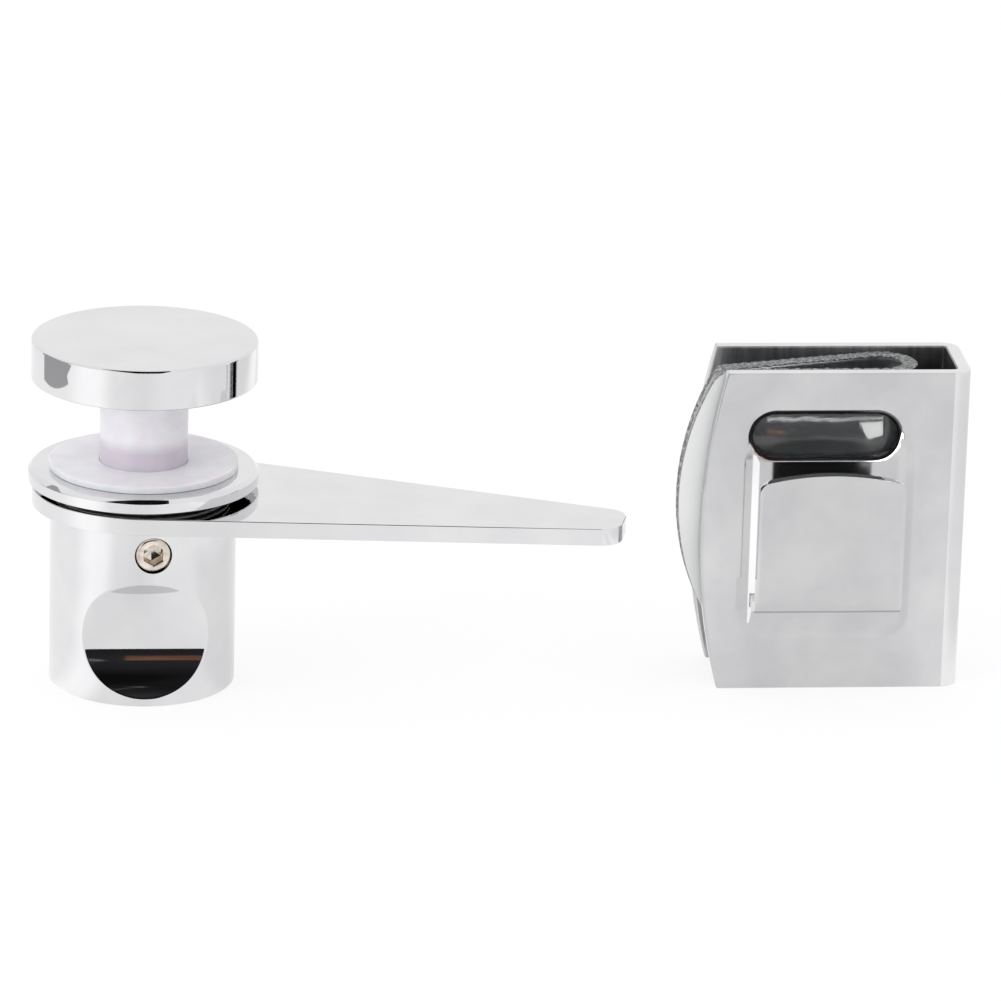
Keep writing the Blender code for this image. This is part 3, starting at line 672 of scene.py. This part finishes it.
# Keeper clip
# Stainless or brass sheet folded to a U over the edge of the second glass pane, its free edges cut
# to a bow. A slot is pierced and a tongue drawn out of the front plate, then it is chromed.

keeper_low, keeper_high = box_mm("keeper_clip")
CLIP_HEIGHT = keeper_high[2]
CLIP_BULGE = 2.9
CLIP_LEFT = keeper_low[0] + CLIP_BULGE
CLIP_WIDTH = keeper_high[0] - CLIP_LEFT
CLIP_DEPTH = 14.2
CLIP_FRONT = keeper_high[1] - CLIP_DEPTH
CLIP_WALL = 1.9
CLIP_BEND = 2.4
CLIP_EDGE = 0.22
CLIP_STRETCH = 2.0
CLIP_STEP = 0.6
BEND_STEPS = 12
END_STEPS = 4
DULL_FINISH, HIGHLIGHT_FINISH = 1, 2
DISH_DEPTH = 0.12
DISH_SLOPE = 1.4
DISH_LEFT, DISH_RIGHT = 3.85, 24.2
DISH_BOTTOM = 8.2
DISH_CORNER = 2.4
SLOT_X, SLOT_Z = 13.4, 35.35
SLOT_LENGTH, SLOT_HEIGHT, SLOT_ROLL = 19.4, 6.1, 0.7


def free_edge(height, left, low_z, high_z, bulge):
    """Left end of a sheet at a height: an arc through both ends that bows out by bulge."""
    half = (high_z - low_z) / 2
    radius = (half ** 2 + bulge ** 2) / (2 * bulge)
    return left - bulge + radius - np.sqrt(np.maximum(radius ** 2 - (height - low_z - half) ** 2, 0))


def dish_depth(x, z):
    """Depth of the pressed dish: full inside a round-cornered rectangle, open at the top, and
    falling off over the slope by a smooth step of the distance outside it."""
    middle = (DISH_LEFT + DISH_RIGHT) / 2
    half = (DISH_RIGHT - DISH_LEFT) / 2
    over_x = np.abs(x - middle) - half + DISH_CORNER
    over_z = np.maximum(DISH_BOTTOM - z, z - SLOT_Z) + DISH_CORNER
    outside = np.hypot(np.maximum(over_x, 0), np.maximum(over_z, 0))
    outside += np.minimum(np.maximum(over_x, over_z), 0)
    part = np.clip(1 - (outside - DISH_CORNER) / DISH_SLOPE, 0, 1)
    return DISH_DEPTH * part ** 2 * (3 - 2 * part)


def dense_line(start, end, step, zones, zone_step=0.1):
    """Values from start to end, a step apart, and closer in the given zones."""
    cuts = [start] + [edge for zone in zones for edge in zone] + [end]
    pieces = []
    for index, (low, high) in enumerate(zip(cuts, cuts[1:])):
        spacing = zone_step if index % 2 else step
        pieces.append(np.linspace(low, high, max(int(abs(high - low) / spacing), 1) + 1)[:-1])
    return np.concatenate(pieces + [[end]])


def end_faces(count, rows):
    """Quads that close both ends of a closed loop carried up: each joins two neighbours on the
    outer line with the two that face them on the inner line."""
    rungs = np.arange(count // 2 - 1)
    ladder = np.stack((rungs, rungs + 1, count - 2 - rungs, count - 1 - rungs), axis=-1)
    return np.concatenate((ladder, ladder + (rows - 1) * count))


def clip_sides():
    """Outer and inner line of the U from above, as many points each, with outward directions: the
    front plate, two bends and the back plate; the last 2 mm are later stretched to the free edge."""
    dish_sides = ((DISH_LEFT - 1.5, DISH_LEFT + 0.1), (DISH_RIGHT - 0.1, DISH_RIGHT + 1.5))
    plate = dense_line(CLIP_EDGE, CLIP_WIDTH - CLIP_BEND, CLIP_STEP, dish_sides)
    back = np.linspace(CLIP_WIDTH - CLIP_BEND, CLIP_EDGE, 40)
    lines = []
    for offset, sign in ((0.0, 1.0), (CLIP_WALL, -1.0)):
        bend = CLIP_BEND - offset
        near_centre = (CLIP_WIDTH - CLIP_BEND, CLIP_BEND)
        far_centre = (CLIP_WIDTH - CLIP_BEND, CLIP_DEPTH - CLIP_BEND)
        near, near_way = arc_points(near_centre, bend, -pi / 2, 0, BEND_STEPS)
        far, far_way = arc_points(far_centre, bend, 0, pi / 2, BEND_STEPS)
        front_line = np.stack((plate[:-1], np.full(len(plate) - 1, offset)), axis=-1)
        back_line = np.stack((back[1:], np.full(len(back) - 1, CLIP_DEPTH - offset)), axis=-1)
        points = np.concatenate((front_line, near, far, back_line))
        front_way = np.tile((0.0, -1.0), (len(front_line), 1))
        back_way = np.tile((0.0, 1.0), (len(back_line), 1))
        directions = sign * np.concatenate((front_way, near_way, far_way, back_way))
        lines.append((points, directions))
    return lines


def end_round(line, way):
    """From a plate's last point round a quarter turn to its end face, with outward directions."""
    corner = np.linspace(0, pi / 2, END_STEPS + 1)[1:, None]
    turned = np.cos(corner) * way + np.sin(corner) * np.array((-1.0, 0.0))
    return line - CLIP_EDGE * way + CLIP_EDGE * turned, turned


def clip_loop():
    """Closed section: outer line, rounded free end of the back plate, inner line back, rounded free end
    of the front plate. Directions point out of the metal, and the last value is each column's finish:
    dull on the inner line, lighter chrome as a painted highlight on the bend, polished elsewhere."""
    outer, inner = clip_sides()
    (front_out, back_out), (front_in, back_in) = [
        [end_round(points[end], ways[end]) for end in (0, -1)] for points, ways in (outer, inner)]
    points, ways = [
        np.concatenate((front_out[kind][::-1], outer[kind], back_out[kind],
                        back_in[kind][::-1], inner[kind][::-1], front_in[kind])) for kind in (0, 1)]
    first = len(outer[0]) + 3 * END_STEPS
    finish = np.zeros(len(points), np.int32)
    finish[first:first + len(inner[0]) - 1] = DULL_FINISH
    bend = np.argmax(points[:, 0] > CLIP_WIDTH - CLIP_BEND - 0.001)
    finish[bend:bend + 2 * BEND_STEPS + 1] = HIGHLIGHT_FINISH
    return points, ways, finish


def clip_shape():
    """The section carried up the clip, with rounded rims at both ends; the front plate takes the
    dish's depth. Returns the points, the quads and each quad's finish."""
    loop, way, finish = clip_loop()
    dish_foot = (DISH_BOTTOM - 1.5, DISH_BOTTOM + 0.1)
    levels = dense_line(CLIP_EDGE, CLIP_HEIGHT - CLIP_EDGE, CLIP_STEP, (dish_foot,))
    rim = np.linspace(0, pi / 2, 6)[:-1]
    low_rim = CLIP_EDGE * (1 - np.cos(rim))
    rim_inset = CLIP_EDGE * (1 - np.sin(rim))
    heights = np.concatenate((low_rim, levels, CLIP_HEIGHT - low_rim[::-1]))
    insets = np.concatenate((rim_inset, 0 * levels, rim_inset[::-1]))
    section = loop - insets[:, None, None] * way
    x, y = section[..., 0], section[..., 1]
    height = heights[:, None]
    edge = free_edge(height, 0, 0, CLIP_HEIGHT, CLIP_BULGE)
    x = np.where(x < CLIP_STRETCH, edge + x * (CLIP_STRETCH - edge) / CLIP_STRETCH, x)
    outer_front = (y < 0.5) & (way[:, 1] < -0.9)
    y = y + np.where(outer_front, dish_depth(x, height), 0)
    grid = np.stack((CLIP_LEFT + x, CLIP_FRONT + y, height + 0 * x), axis=-1)
    count = len(loop)
    walls = sheet_faces(len(heights), count, closed=True)
    rims = end_faces(count, len(heights))
    # The rims take the lighter chrome too: a painted highlight along the clip's top and bottom edges.
    finish = np.concatenate((finish[walls[:, 0] % count], np.full(len(rims), HIGHLIGHT_FINISH, np.int32)))
    return grid, np.concatenate((walls, rims)), finish


def slot_cutter():
    """Round-ended slot carried through the plate: its outline grows by roll * (1 - sin t) at a
    depth of roll * (1 - cos t), which leaves a rolled rim."""
    reach = (SLOT_LENGTH - SLOT_HEIGHT) / 2
    right, right_way = arc_points((SLOT_X + reach, SLOT_Z), SLOT_HEIGHT / 2, -pi / 2, pi / 2, 40)
    left, left_way = arc_points((SLOT_X - reach, SLOT_Z), SLOT_HEIGHT / 2, pi / 2, 3 * pi / 2, 40)
    line, way = np.concatenate((right, left)), np.concatenate((right_way, left_way))
    turn = np.linspace(0, pi / 2, 12)
    grow = np.concatenate(([SLOT_ROLL], SLOT_ROLL * (1 - np.sin(turn)), [0.0]))
    depth = np.concatenate(([-1.0], SLOT_ROLL * (1 - np.cos(turn)), [CLIP_WALL + 1.0]))
    centre = np.array((SLOT_X, SLOT_Z))
    rings = line + grow[:, None, None] * way
    rings = np.concatenate((0 * rings[:1] + centre, rings, 0 * rings[:1] + centre))
    depth = np.concatenate((depth[:1], depth, depth[-1:]))[:, None] + 0 * rings[..., 0]
    grid = np.stack((CLIP_LEFT + rings[..., 0], CLIP_FRONT + depth, rings[..., 1]), axis=-1)
    return grid, sheet_faces(len(rings), len(line), closed=True)


TONGUE_X, TONGUE_WIDTH = 13.9, 19.6
TONGUE_BOTTOM, TONGUE_TOP = 11.8, 31.8
TONGUE_ARCH, TONGUE_CORNER = 1.3, 1.2
TONGUE_WALL, TONGUE_GAP, TONGUE_FLARE, TONGUE_BEND = 1.5, 3.9, 0.5, 2.6


def tongue_shape():
    """Strip carried out of the plate, round a bend and up: each row is a place on its middle line,
    the columns span the width, which shrinks round the top corners, and the top rows rise in an
    arch of height arch * (1 - (x / half)^2)."""
    middle_bend = TONGUE_BEND - TONGUE_WALL / 2
    turn = (TONGUE_BEND - TONGUE_GAP - TONGUE_WALL, TONGUE_BOTTOM + TONGUE_BEND)
    bend, bend_way = arc_points(turn, middle_bend, -pi / 2, -pi, 20)
    root_z = TONGUE_BOTTOM + TONGUE_WALL / 2
    root = np.array(((CLIP_WALL - 0.2, root_z), (0.6, root_z)))
    top_z = TONGUE_TOP - TONGUE_ARCH
    side_z = top_z - TONGUE_CORNER
    corner_turn = np.linspace(0, pi / 2, 12)[1:]
    straight = np.linspace(bend[-1, 1], side_z, 30)[1:]
    rise = np.concatenate((straight, side_z + TONGUE_CORNER * np.sin(corner_turn)))
    lean = -TONGUE_FLARE * (rise - bend[-1, 1]) / (top_z - bend[-1, 1])
    line = np.concatenate((root, bend, np.stack((bend[-1, 0] + lean, rise), axis=-1)))
    way = np.concatenate((((0, -1), (0, -1)), bend_way, np.tile((-1.0, 0.0), (len(rise), 1))))
    half = np.full(len(line), TONGUE_WIDTH / 2)
    half[-len(corner_turn):] -= TONGUE_CORNER * (1 - np.cos(corner_turn))
    bend_top = TONGUE_BOTTOM + TONGUE_BEND
    lift = np.clip((line[:, 1] - bend_top) / (top_z - bend_top), 0, 1) * (way[:, 0] < -0.9)
    across = np.linspace(-1, 1, 41)
    x = half[:, None] * across
    arch = TONGUE_ARCH * (1 - (x / (TONGUE_WIDTH / 2)) ** 2) * lift[:, None]
    layers = []
    for side in (1, -1):
        place = line + side * TONGUE_WALL / 2 * way
        out, up = CLIP_FRONT + place[:, :1] + 0 * x, place[:, 1:] + arch
        layers.append(np.stack((CLIP_LEFT + TONGUE_X + x, out, up), axis=-1))
    front_layer, back_layer = layers
    rows, columns = x.shape
    quads = sheet_faces(rows, columns)
    patches = [(front_layer, quads), (back_layer, quads)]
    for cut in (np.s_[0, :], np.s_[-1, :], np.s_[:, 0], np.s_[:, -1]):
        strip = np.stack((front_layer[cut], back_layer[cut]))
        patches.append((strip, sheet_faces(2, strip.shape[1])))
    return patches


def dull_inside():
    """Inside of the U, which no polishing wheel reaches: thin grey plating over the rolled sheet,
    with streaks along the height about 0.6 mm apart. Its colour is darker the deeper it lies below
    the top and behind the free edges: painted shade of the closed hollow."""
    material, tree, place = new_material("dull_plating_painted_shade")
    drawn_out = {"Vector": place, "Scale": (1.0, 1.0, 0.1)}
    along = add_node(tree, "ShaderNodeMapping", drawn_out).outputs["Vector"]
    streaks = two_tones(tree, noise(tree, along, 0.6), "7E7F81", "D2D3D5")
    parts = add_node(tree, "ShaderNodeSeparateXYZ", {"Vector": place}).outputs
    # Painted shade: the colour darkens below the top and behind the free edges.
    shade_from_top = mapped(tree, parts["Z"], 34 * MM, 42 * MM, 0.08, 0.6)
    shade_from_edge = mapped(tree, parts["X"], CLIP_LEFT * MM, (CLIP_LEFT + 4) * MM, 1.0, 0.08)
    painted_shade_level = calculated(tree, "MAXIMUM", shade_from_top, shade_from_edge)
    tone = mixed(tree, 1.0, streaks, painted_shade_level, "MULTIPLY")
    settings = {"Base Color": tone, "Metallic": 1.0, "Roughness": 0.38}
    return finished(material, "ShaderNodeBsdfPrincipled", settings)


keeper_chrome = polished_chrome("keeper_chrome", "CFCFD0", "C3C3C5", 12, 0.09, 0.18)
# A lighter copy of the keeper's chrome: painted highlight on the outer bend and the rims.
highlight_chrome = polished_chrome("painted_highlight_chrome", "E2E2E3", "DADADC", 12, 0.08, 0.14)
# The slot's cut edge keeps rough thin plating, and its dark tone is painted shade outlining the slot.
pierced_edge_shade = polished_chrome("pierced_edge_shade", "3C3C3E", "2A2A2C", 12, 0.2, 0.3)
clip_grid, clip_faces, clip_finish = clip_shape()
clip = new_piece("polished_keeper_clip", [(clip_grid, clip_faces)], keeper_chrome)
clip.data.materials.append(dull_inside())
clip.data.materials.append(highlight_chrome)
clip.data.polygons.foreach_set("material_index", clip_finish)
cut_or_join(clip, new_piece("slot_cutter", [slot_cutter()], pierced_edge_shade), "DIFFERENCE")
tongue = new_piece("drawn_tongue", tongue_shape(), keeper_chrome)
edges = tongue.modifiers.new("broken_edges", "BEVEL")
edges.width = 0.2 * MM
edges.segments = 3
edges.limit_method = "ANGLE"
edges.angle_limit = radians(50)
settled(tongue)
cut_or_join(clip, tongue, "UNION")
clip.data.set_sharp_from_angle(angle=radians(40))
even_shading(clip)
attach(clip, "glass_mount")
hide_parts("keeper_clip")

# Keeper liner
# A folded sheet of soft clear vinyl that the glass slides into. Its faces are glossy and its knife
# cut edges are frosted, and its free edges bow out past the clip.

LINER_WALL = 0.9
LINER_DRAG = 1.2
LINER_DRAG_DEPTH = 1.2
LINER_FOLD_GAP, LINER_SPAN, LINER_LEAN = 5.0, 8.9, 8.3
LINER_SETBACK, LINER_BULGE = -1.4, 4.3
LINER_ARC_LOW, LINER_ARC_HIGH = 9.5, 42.6
LINER_LOW_SLANT = 0.22
liner_low, liner_high = box_mm("keeper_liner")


def clear_vinyl():
    """Plasticised PVC sheet: clear, faintly grey, with a soft gloss and slow ripples. Towards its
    bowed free edges it turns white and less clear."""
    material, tree, place = new_material("clear_vinyl")
    ripple = noise(tree, place, 5)
    along = add_node(tree, "ShaderNodeSeparateXYZ", {"Vector": place}).outputs["X"]
    clear = mapped(tree, along, (CLIP_LEFT - 0.5) * MM, (CLIP_LEFT + 3) * MM, 0.2, 0.95)
    return finished(material, "ShaderNodeBsdfPrincipled", {
        "Base Color": mixed(tree, clear, linear("FFFFFF"), linear("CFD2D4")),
        "IOR": 1.52,
        "Roughness": mapped(tree, ripple, 0.0, 1.0, 0.04, 0.14),
        "Transmission Weight": clear,
        "Normal": bumps(tree, ripple, 0.25, 0.3),
    })


def frosted_cut():
    """The knife-cut edge of the sheet: torn and frosted, grey white with bright and dark grains of
    0.2 to 0.5 mm."""
    material, tree, place = new_material("frosted_cut")
    grain = noise(tree, place, 0.45, 4.0, 0.7)
    return finished(material, "ShaderNodeBsdfPrincipled", {
        "Base Color": two_tones(tree, grain, "48494B", "E8E9EA", 0.45, 0.72),
        "Roughness": 0.35,
        "Transmission Weight": 0.3,
        "IOR": 1.52,
        "Normal": bumps(tree, grain, 0.6, 0.2),
    })


def liner_shape():
    """Middle line of the fold from above, offset half the sheet's wall to both sides and carried
    up; both legs end where the bowed free edge cuts them. The knife has dragged the top edge
    wider towards the inside, and left it uneven by sums of sines. Returns the points, the quads
    and which quads are cut edges."""
    near = CLIP_WALL + SEAT_GAP + LINER_WALL / 2
    radius = LINER_SPAN / 2
    fold_x = CLIP_WIDTH - CLIP_WALL - LINER_FOLD_GAP - radius
    top = liner_high[2]
    levels = np.concatenate((np.linspace(liner_low[2], top - 2, 84), np.linspace(top - 1.8, top, 12)))
    low_cut = LINER_SETBACK + (LINER_ARC_LOW - levels) * LINER_LOW_SLANT
    high_cut = LINER_SETBACK + (levels - LINER_ARC_HIGH)
    arc = free_edge(levels, LINER_SETBACK, LINER_ARC_LOW, LINER_ARC_HIGH, LINER_BULGE)
    end = np.where(levels < LINER_ARC_LOW, low_cut, np.where(levels > LINER_ARC_HIGH, high_cut, arc))
    part = np.linspace(0, 1, 150)
    leg = end[:, None] + part * (fold_x - end[:, None])
    fold, _ = arc_points((fold_x, near + radius), radius, -pi / 2, pi / 2, 72)
    far_y = near + LINER_SPAN
    free = -2 * LINER_BULGE
    slope = LINER_LEAN / (fold_x - free)
    ones = np.ones((len(levels), 1))
    far_leg = leg[:, ::-1]
    x = np.concatenate((leg, ones * fold[1:-1, 0], far_leg), axis=1)
    y = np.concatenate((near + 0 * leg, ones * fold[1:-1, 1], far_y - slope * (fold_x - far_leg)), axis=1)
    along = np.stack((np.gradient(x[0]), np.gradient(y[0])), axis=-1)
    along = along / np.linalg.norm(along, axis=1, keepdims=True)
    side = np.stack((along[:, 1], -along[:, 0]), axis=-1) * LINER_WALL / 2
    outer = np.stack((x + side[:, 0], y + side[:, 1]), axis=-1)
    drag = np.clip(1 - (top - levels) / LINER_DRAG_DEPTH, 0, 1)[:, None] ** 2
    ragged = 0.12 * np.sin(3.1 * x + y) + 0.1 * np.sin(8.3 * x + 1) + 0.08 * np.sin(19 * x)
    swell = 1 + drag * (LINER_DRAG + ragged) / LINER_WALL * 2
    inner = np.stack((x - swell * side[:, 0], y - swell * side[:, 1]), axis=-1)
    loop = np.concatenate((outer, inner[:, ::-1]), axis=1)
    count = loop.shape[1]
    tear = 0.05 * np.sin(4.7 * loop[..., 0]) + 0.05 * np.sin(13 * loop[..., 0] + 5 * loop[..., 1])
    grid = np.concatenate((loop, (levels[:, None] + drag * (tear - 0.1))[..., None]), axis=-1)
    grid[..., 0] += CLIP_LEFT
    grid[..., 1] += CLIP_FRONT
    walls = sheet_faces(len(levels), count, closed=True)
    ends = end_faces(count, len(levels))
    column = walls[:, 0] % count
    free_ends = (column == count // 2 - 1) | (column == count - 1)
    return grid, np.concatenate((walls, ends)), np.concatenate((free_ends, np.ones(len(ends), bool)))


liner_grid, liner_faces, cut_edge = liner_shape()
liner = new_piece("folded_vinyl_liner", [(liner_grid, liner_faces)], clear_vinyl())
liner.data.materials.append(frosted_cut())
liner.data.polygons.foreach_set("material_index", cut_edge.astype(np.int32))
liner.data.set_sharp_from_angle(angle=radians(50))
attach(liner, "glass_mount")
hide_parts("keeper_liner")

# Studio
# A white room and a white board as the floor, with a soft lamp from the left. Cards stand and hang
# where the camera can't see them, and give the chrome its black, grey and brown reflections.

FLOOR_SIZE = 1600.0
BOARD_GLOW = 0.85
BOARD_MATT = 0.15
GLOSSY_GAIN = 1.4
SEAM_LEVEL = 0.752
SECTOR_LEVELS = ((0.08, 0.92), (0.11, 0.90), (0.165, 0.70), (0.24, 0.65), (0.3, 0.73), (0.39, 0.73),
                 (0.45, 0.65), (0.56, 0.62), (0.66, 0.66), (0.75, 0.72))
LANE_X = 89.5
LANE_SLANT = 0.105


def stage_sheet(name, corners, material):
    """A flat sheet that belongs to the studio."""
    mesh = bpy.data.meshes.new(name)
    mesh.from_pydata((np.array(corners, float) * MM).tolist(), [], [tuple(range(len(corners)))])
    mesh.materials.append(material)
    item = bpy.data.objects.new(name, mesh)
    bpy.context.scene.collection.objects.link(item)
    return item


def keeper_pool(tree, place):
    """Level of the board, which is 1.0 but for a pool of light before the keeper: brighter towards
    the keeper's foot, with a greyer lane down its middle, as the lamps leave it."""
    parts = add_node(tree, "ShaderNodeSeparateXYZ", {"Vector": place}).outputs
    along = mapped(tree, parts["Y"], -130 * MM, -30 * MM, 0.93, 1.2)
    slanted = calculated(tree, "MULTIPLY_ADD", parts["Y"], LANE_SLANT, parts["X"])
    aside = calculated(tree, "ABSOLUTE", calculated(tree, "SUBTRACT", slanted, LANE_X * MM))
    level = calculated(tree, "MULTIPLY", along, mapped(tree, aside, 7 * MM, 15 * MM, 0.89, 1.05))
    left = mapped(tree, parts["X"], 60 * MM, 85 * MM)
    right = mapped(tree, parts["X"], 135 * MM, 115 * MM)
    near = mapped(tree, parts["Y"], -112 * MM, -92 * MM)
    inside = calculated(tree, "MULTIPLY", calculated(tree, "MULTIPLY", left, right), near)
    return add_node(tree, "ShaderNodeMix", {"Factor": inside, "A": 1.0, "B": level}).outputs["Result"]


def white_board():
    """White board under the object: its glow keeps it white in the picture, and its matt part
    takes a faint shadow. Polished metal also sees light and grey sectors round the knob's axis,
    which stand for the soft lamps and cards round the set."""
    material, tree, place = new_material("white_board")
    turn = add_node(tree, "ShaderNodeTexGradient", {"Vector": place}, gradient_type="RADIAL")
    sectors = add_node(tree, "ShaderNodeValToRGB", {"Fac": turn.outputs["Fac"]})
    stops = sectors.color_ramp.elements
    sectors.color_ramp.interpolation = "EASE"
    for stop, position in zip(stops, (0.0, 1.0)):
        stop.position = position
        stop.color = (SEAM_LEVEL, SEAM_LEVEL, SEAM_LEVEL, 1.0)
    for position, grey in SECTOR_LEVELS:
        stops.new(position).color = (grey, grey, grey, 1.0)
    glossy = add_node(tree, "ShaderNodeLightPath").outputs["Is Glossy Ray"]
    level = calculated(tree, "MULTIPLY", sectors.outputs["Color"], keeper_pool(tree, place))
    pattern = add_node(tree, "ShaderNodeMix", {"Factor": glossy, "A": 1 / GLOSSY_GAIN, "B": level})
    strength = calculated(tree, "MULTIPLY", pattern.outputs["Result"], GLOSSY_GAIN * BOARD_GLOW)
    light = add_node(tree, "ShaderNodeEmission", {"Color": linear("FFFFFF"), "Strength": strength})
    matt = add_node(tree, "ShaderNodeBsdfDiffuse", {"Color": (BOARD_MATT, BOARD_MATT, BOARD_MATT, 1.0)})
    return finished(material, "ShaderNodeAddShader", {0: light.outputs[0], 1: matt.outputs[0]})


half = FLOOR_SIZE / 2
stage_sheet("floor", ((-half, -half, 0), (half, -half, 0), (half, half, 0), (-half, half, 0)), white_board())

world = bpy.data.worlds.new("white_room")
bpy.context.scene.world = world
world.use_nodes = True
tree = world.node_tree
tree.nodes.clear()
room = add_node(tree, "ShaderNodeBackground", {"Color": linear("FFFFFF"), "Strength": 1.0})
add_node(tree, "ShaderNodeOutputWorld", {"Surface": room.outputs[0]})


def card(name, dark, light, fold, stretch=(1.0, 1.0, 1.0)):
    """Card or cloth that shows only in reflections: two tones in soft folds of a given size."""
    material, tree, place = new_material(name)
    pulled = add_node(tree, "ShaderNodeMapping", {"Vector": place, "Scale": stretch}).outputs["Vector"]
    folds = two_tones(tree, noise(tree, pulled, fold), dark, light, 0.45, 0.72)
    return finished(material, "ShaderNodeEmission", {"Color": folds, "Strength": 1.0})


def glow(name, colour, strength):
    """A small even light of one colour."""
    material = new_material(name)[0]
    return finished(material, "ShaderNodeEmission", {"Color": linear(colour), "Strength": strength})


def rectangle(left, right, low, high):
    """Corners (across, up) of an upright rectangle."""
    return (left, low), (right, low), (right, high), (left, high)


def reflected(name, corners, material):
    """A sheet that shows only in reflections."""
    item = stage_sheet(name, corners, material)
    item.visible_camera = False
    item.visible_diffuse = False
    item.visible_shadow = False
    item.visible_transmission = False


def before_keeper(name, corners, depth, material):
    """Small upright sheet close before the keeper's front plate, for the vinyl behind the slot or
    the plate behind the tongue to mirror: across and up count from the clip's left edge and its
    foot, and depth from its front plate."""
    reflected(name, [(CLIP_LEFT + across, CLIP_FRONT - depth, up) for across, up in corners], material)


black_cloth = card("black_cloth", "111112", "333335", 90, (1.0, 1.0, 0.5))
brown_card = card("brown_card", "5E3F31", "85604F", 20)
grey_card = card("grey_card", "ADADAF", "D2D2D4", 60)
wisp_card = card("wisp_card", "1C1C1D", "9A9A9C", 9, (1.0, 1.0, 0.5))
CLOTH_Y = -150.0
for name, corners, y, material in (
    ("front_cloth", ((-25, 8.6), (32, 8.6), (150, 560), (-340, 560)), CLOTH_Y, black_cloth),
    ("warm_strip", rectangle(2, 16, 30, 45), CLOTH_Y + 1, brown_card),
    ("pale_wisp", rectangle(-9, 8, 160, 190), CLOTH_Y + 1, wisp_card),
    ("left_wisp", ((-5, 33), (-1, 45), (-3, 52), (-5, 66)), CLOTH_Y + 1, wisp_card),
):
    reflected(name, [(across, y, up) for across, up in corners], material)
reflected("left_card", (
    (-61, -14, 28.5), (-53, 22, 28.5), (-53, 22, 70), (-63, -22, 70), (-61, -14, 36), (-62, -18, 34),
    (-60.5, -11, 32.5), (-62, -18, 31), (-60.5, -12, 30),
), grey_card)

# The glowing and black sheets before the keeper are painted reflections: glints and a highlight line, and a
# black sheet as painted shade in the slot, which the vinyl and the plate mirror.
soft_glow = glow("soft_glow", "FFFFFF", 0.95)
BLOB_CORNERS = ((19.7, 33.7), (22.6, 33.9), (22.9, 32.2), (21.0, 31.7))
LINE_CORNERS = ((3.9, 9.2), (4.15, 9.2), (4.75, 13.4), (4.75, 31.6), (4.3, 32.6), (3.85, 32.8), (3.85, 12.0))
for name, corners, depth, material in (
    ("slot_dark", rectangle(4.8, 23.6, 31.9, 35.3), 6.7, glow("black_card", "0A0A0A", 1.0)),
    ("slot_line", rectangle(7.0, 22.8, 34.2, 34.6), 6.6, glow("white_glow", "FFFFFF", 9.0)),
    ("slot_blob", BLOB_CORNERS, 6.6, glow("bright_glow", "FFFFFF", 14.0)),
    ("slot_brown", rectangle(7.0, 9.4, 32.2, 32.9), 6.6, glow("brown_glow", "9A5A48", 6.0)),
    ("tongue_glow", rectangle(4.1, 5.6, 13.5, 27.4), 3.84, soft_glow),
    ("hollow_left", rectangle(4.1, 7.0, 27.4, 31.0), 3.84, soft_glow),
    ("hollow_right", rectangle(20.4, 24.0, 27.4, 31.0), 3.84, soft_glow),
    ("tongue_foot", rectangle(2.2, 4.9, 11.0, 15.6), 0.4, soft_glow),
    ("tongue_line", LINE_CORNERS, 0.3, glow("line_glow", "FFFFFF", 1.6)),
):
    before_keeper(name, corners, depth, material)

lamp = bpy.data.lights.new("left_softbox", "AREA")
lamp.size = 500 * MM
lamp.energy = 2.0
softbox = bpy.data.objects.new("left_softbox", lamp)
softbox.location = Vector((-600, -350, 400)) * MM
aim = softbox.location - Vector((20, 0, 20)) * MM
softbox.rotation_euler = aim.to_track_quat("Z", "Y").to_euler()
softbox.visible_glossy = False
bpy.context.scene.collection.objects.link(softbox)

# Camera
# A long lens that looks down a little, turned slightly, as the photograph was taken.

VIEW_TURN = radians(6.0)
VIEW_DOWN = radians(18.2)
VIEW_ROLL = radians(1.6)
SENSOR = 36.0
PICTURE = 1001
FOCAL_PIXELS = 7000.0
PIXELS_A_MM = 7.53
AIM_RIGHT = 47.45
AIM_UP = 26.12

level_ahead = np.array((np.sin(VIEW_TURN), np.cos(VIEW_TURN), 0.0))
ahead = level_ahead * np.cos(VIEW_DOWN) - np.array((0.0, 0.0, np.sin(VIEW_DOWN)))
level = np.array((np.cos(VIEW_TURN), -np.sin(VIEW_TURN), 0.0))
upward = np.cross(level, ahead)
right_way = level * np.cos(VIEW_ROLL) + upward * np.sin(VIEW_ROLL)
up_way = upward * np.cos(VIEW_ROLL) - level * np.sin(VIEW_ROLL)
stand = level * AIM_RIGHT + np.array((0.0, 0.0, AIM_UP)) - ahead * FOCAL_PIXELS / PIXELS_A_MM

camera = bpy.data.cameras.new("camera")
camera.sensor_width = SENSOR
camera.lens = SENSOR * FOCAL_PIXELS / PICTURE
camera.clip_end = 10.0
camera_object = bpy.data.objects.new("camera", camera)
turned = np.eye(4)
turned[:3] = np.column_stack((right_way, up_way, -ahead, stand * MM))
camera_object.matrix_world = Matrix(turned.tolist())
bpy.context.scene.collection.objects.link(camera_object)
bpy.context.scene.camera = camera_object
bpy.context.scene.view_settings.view_transform = "Standard"
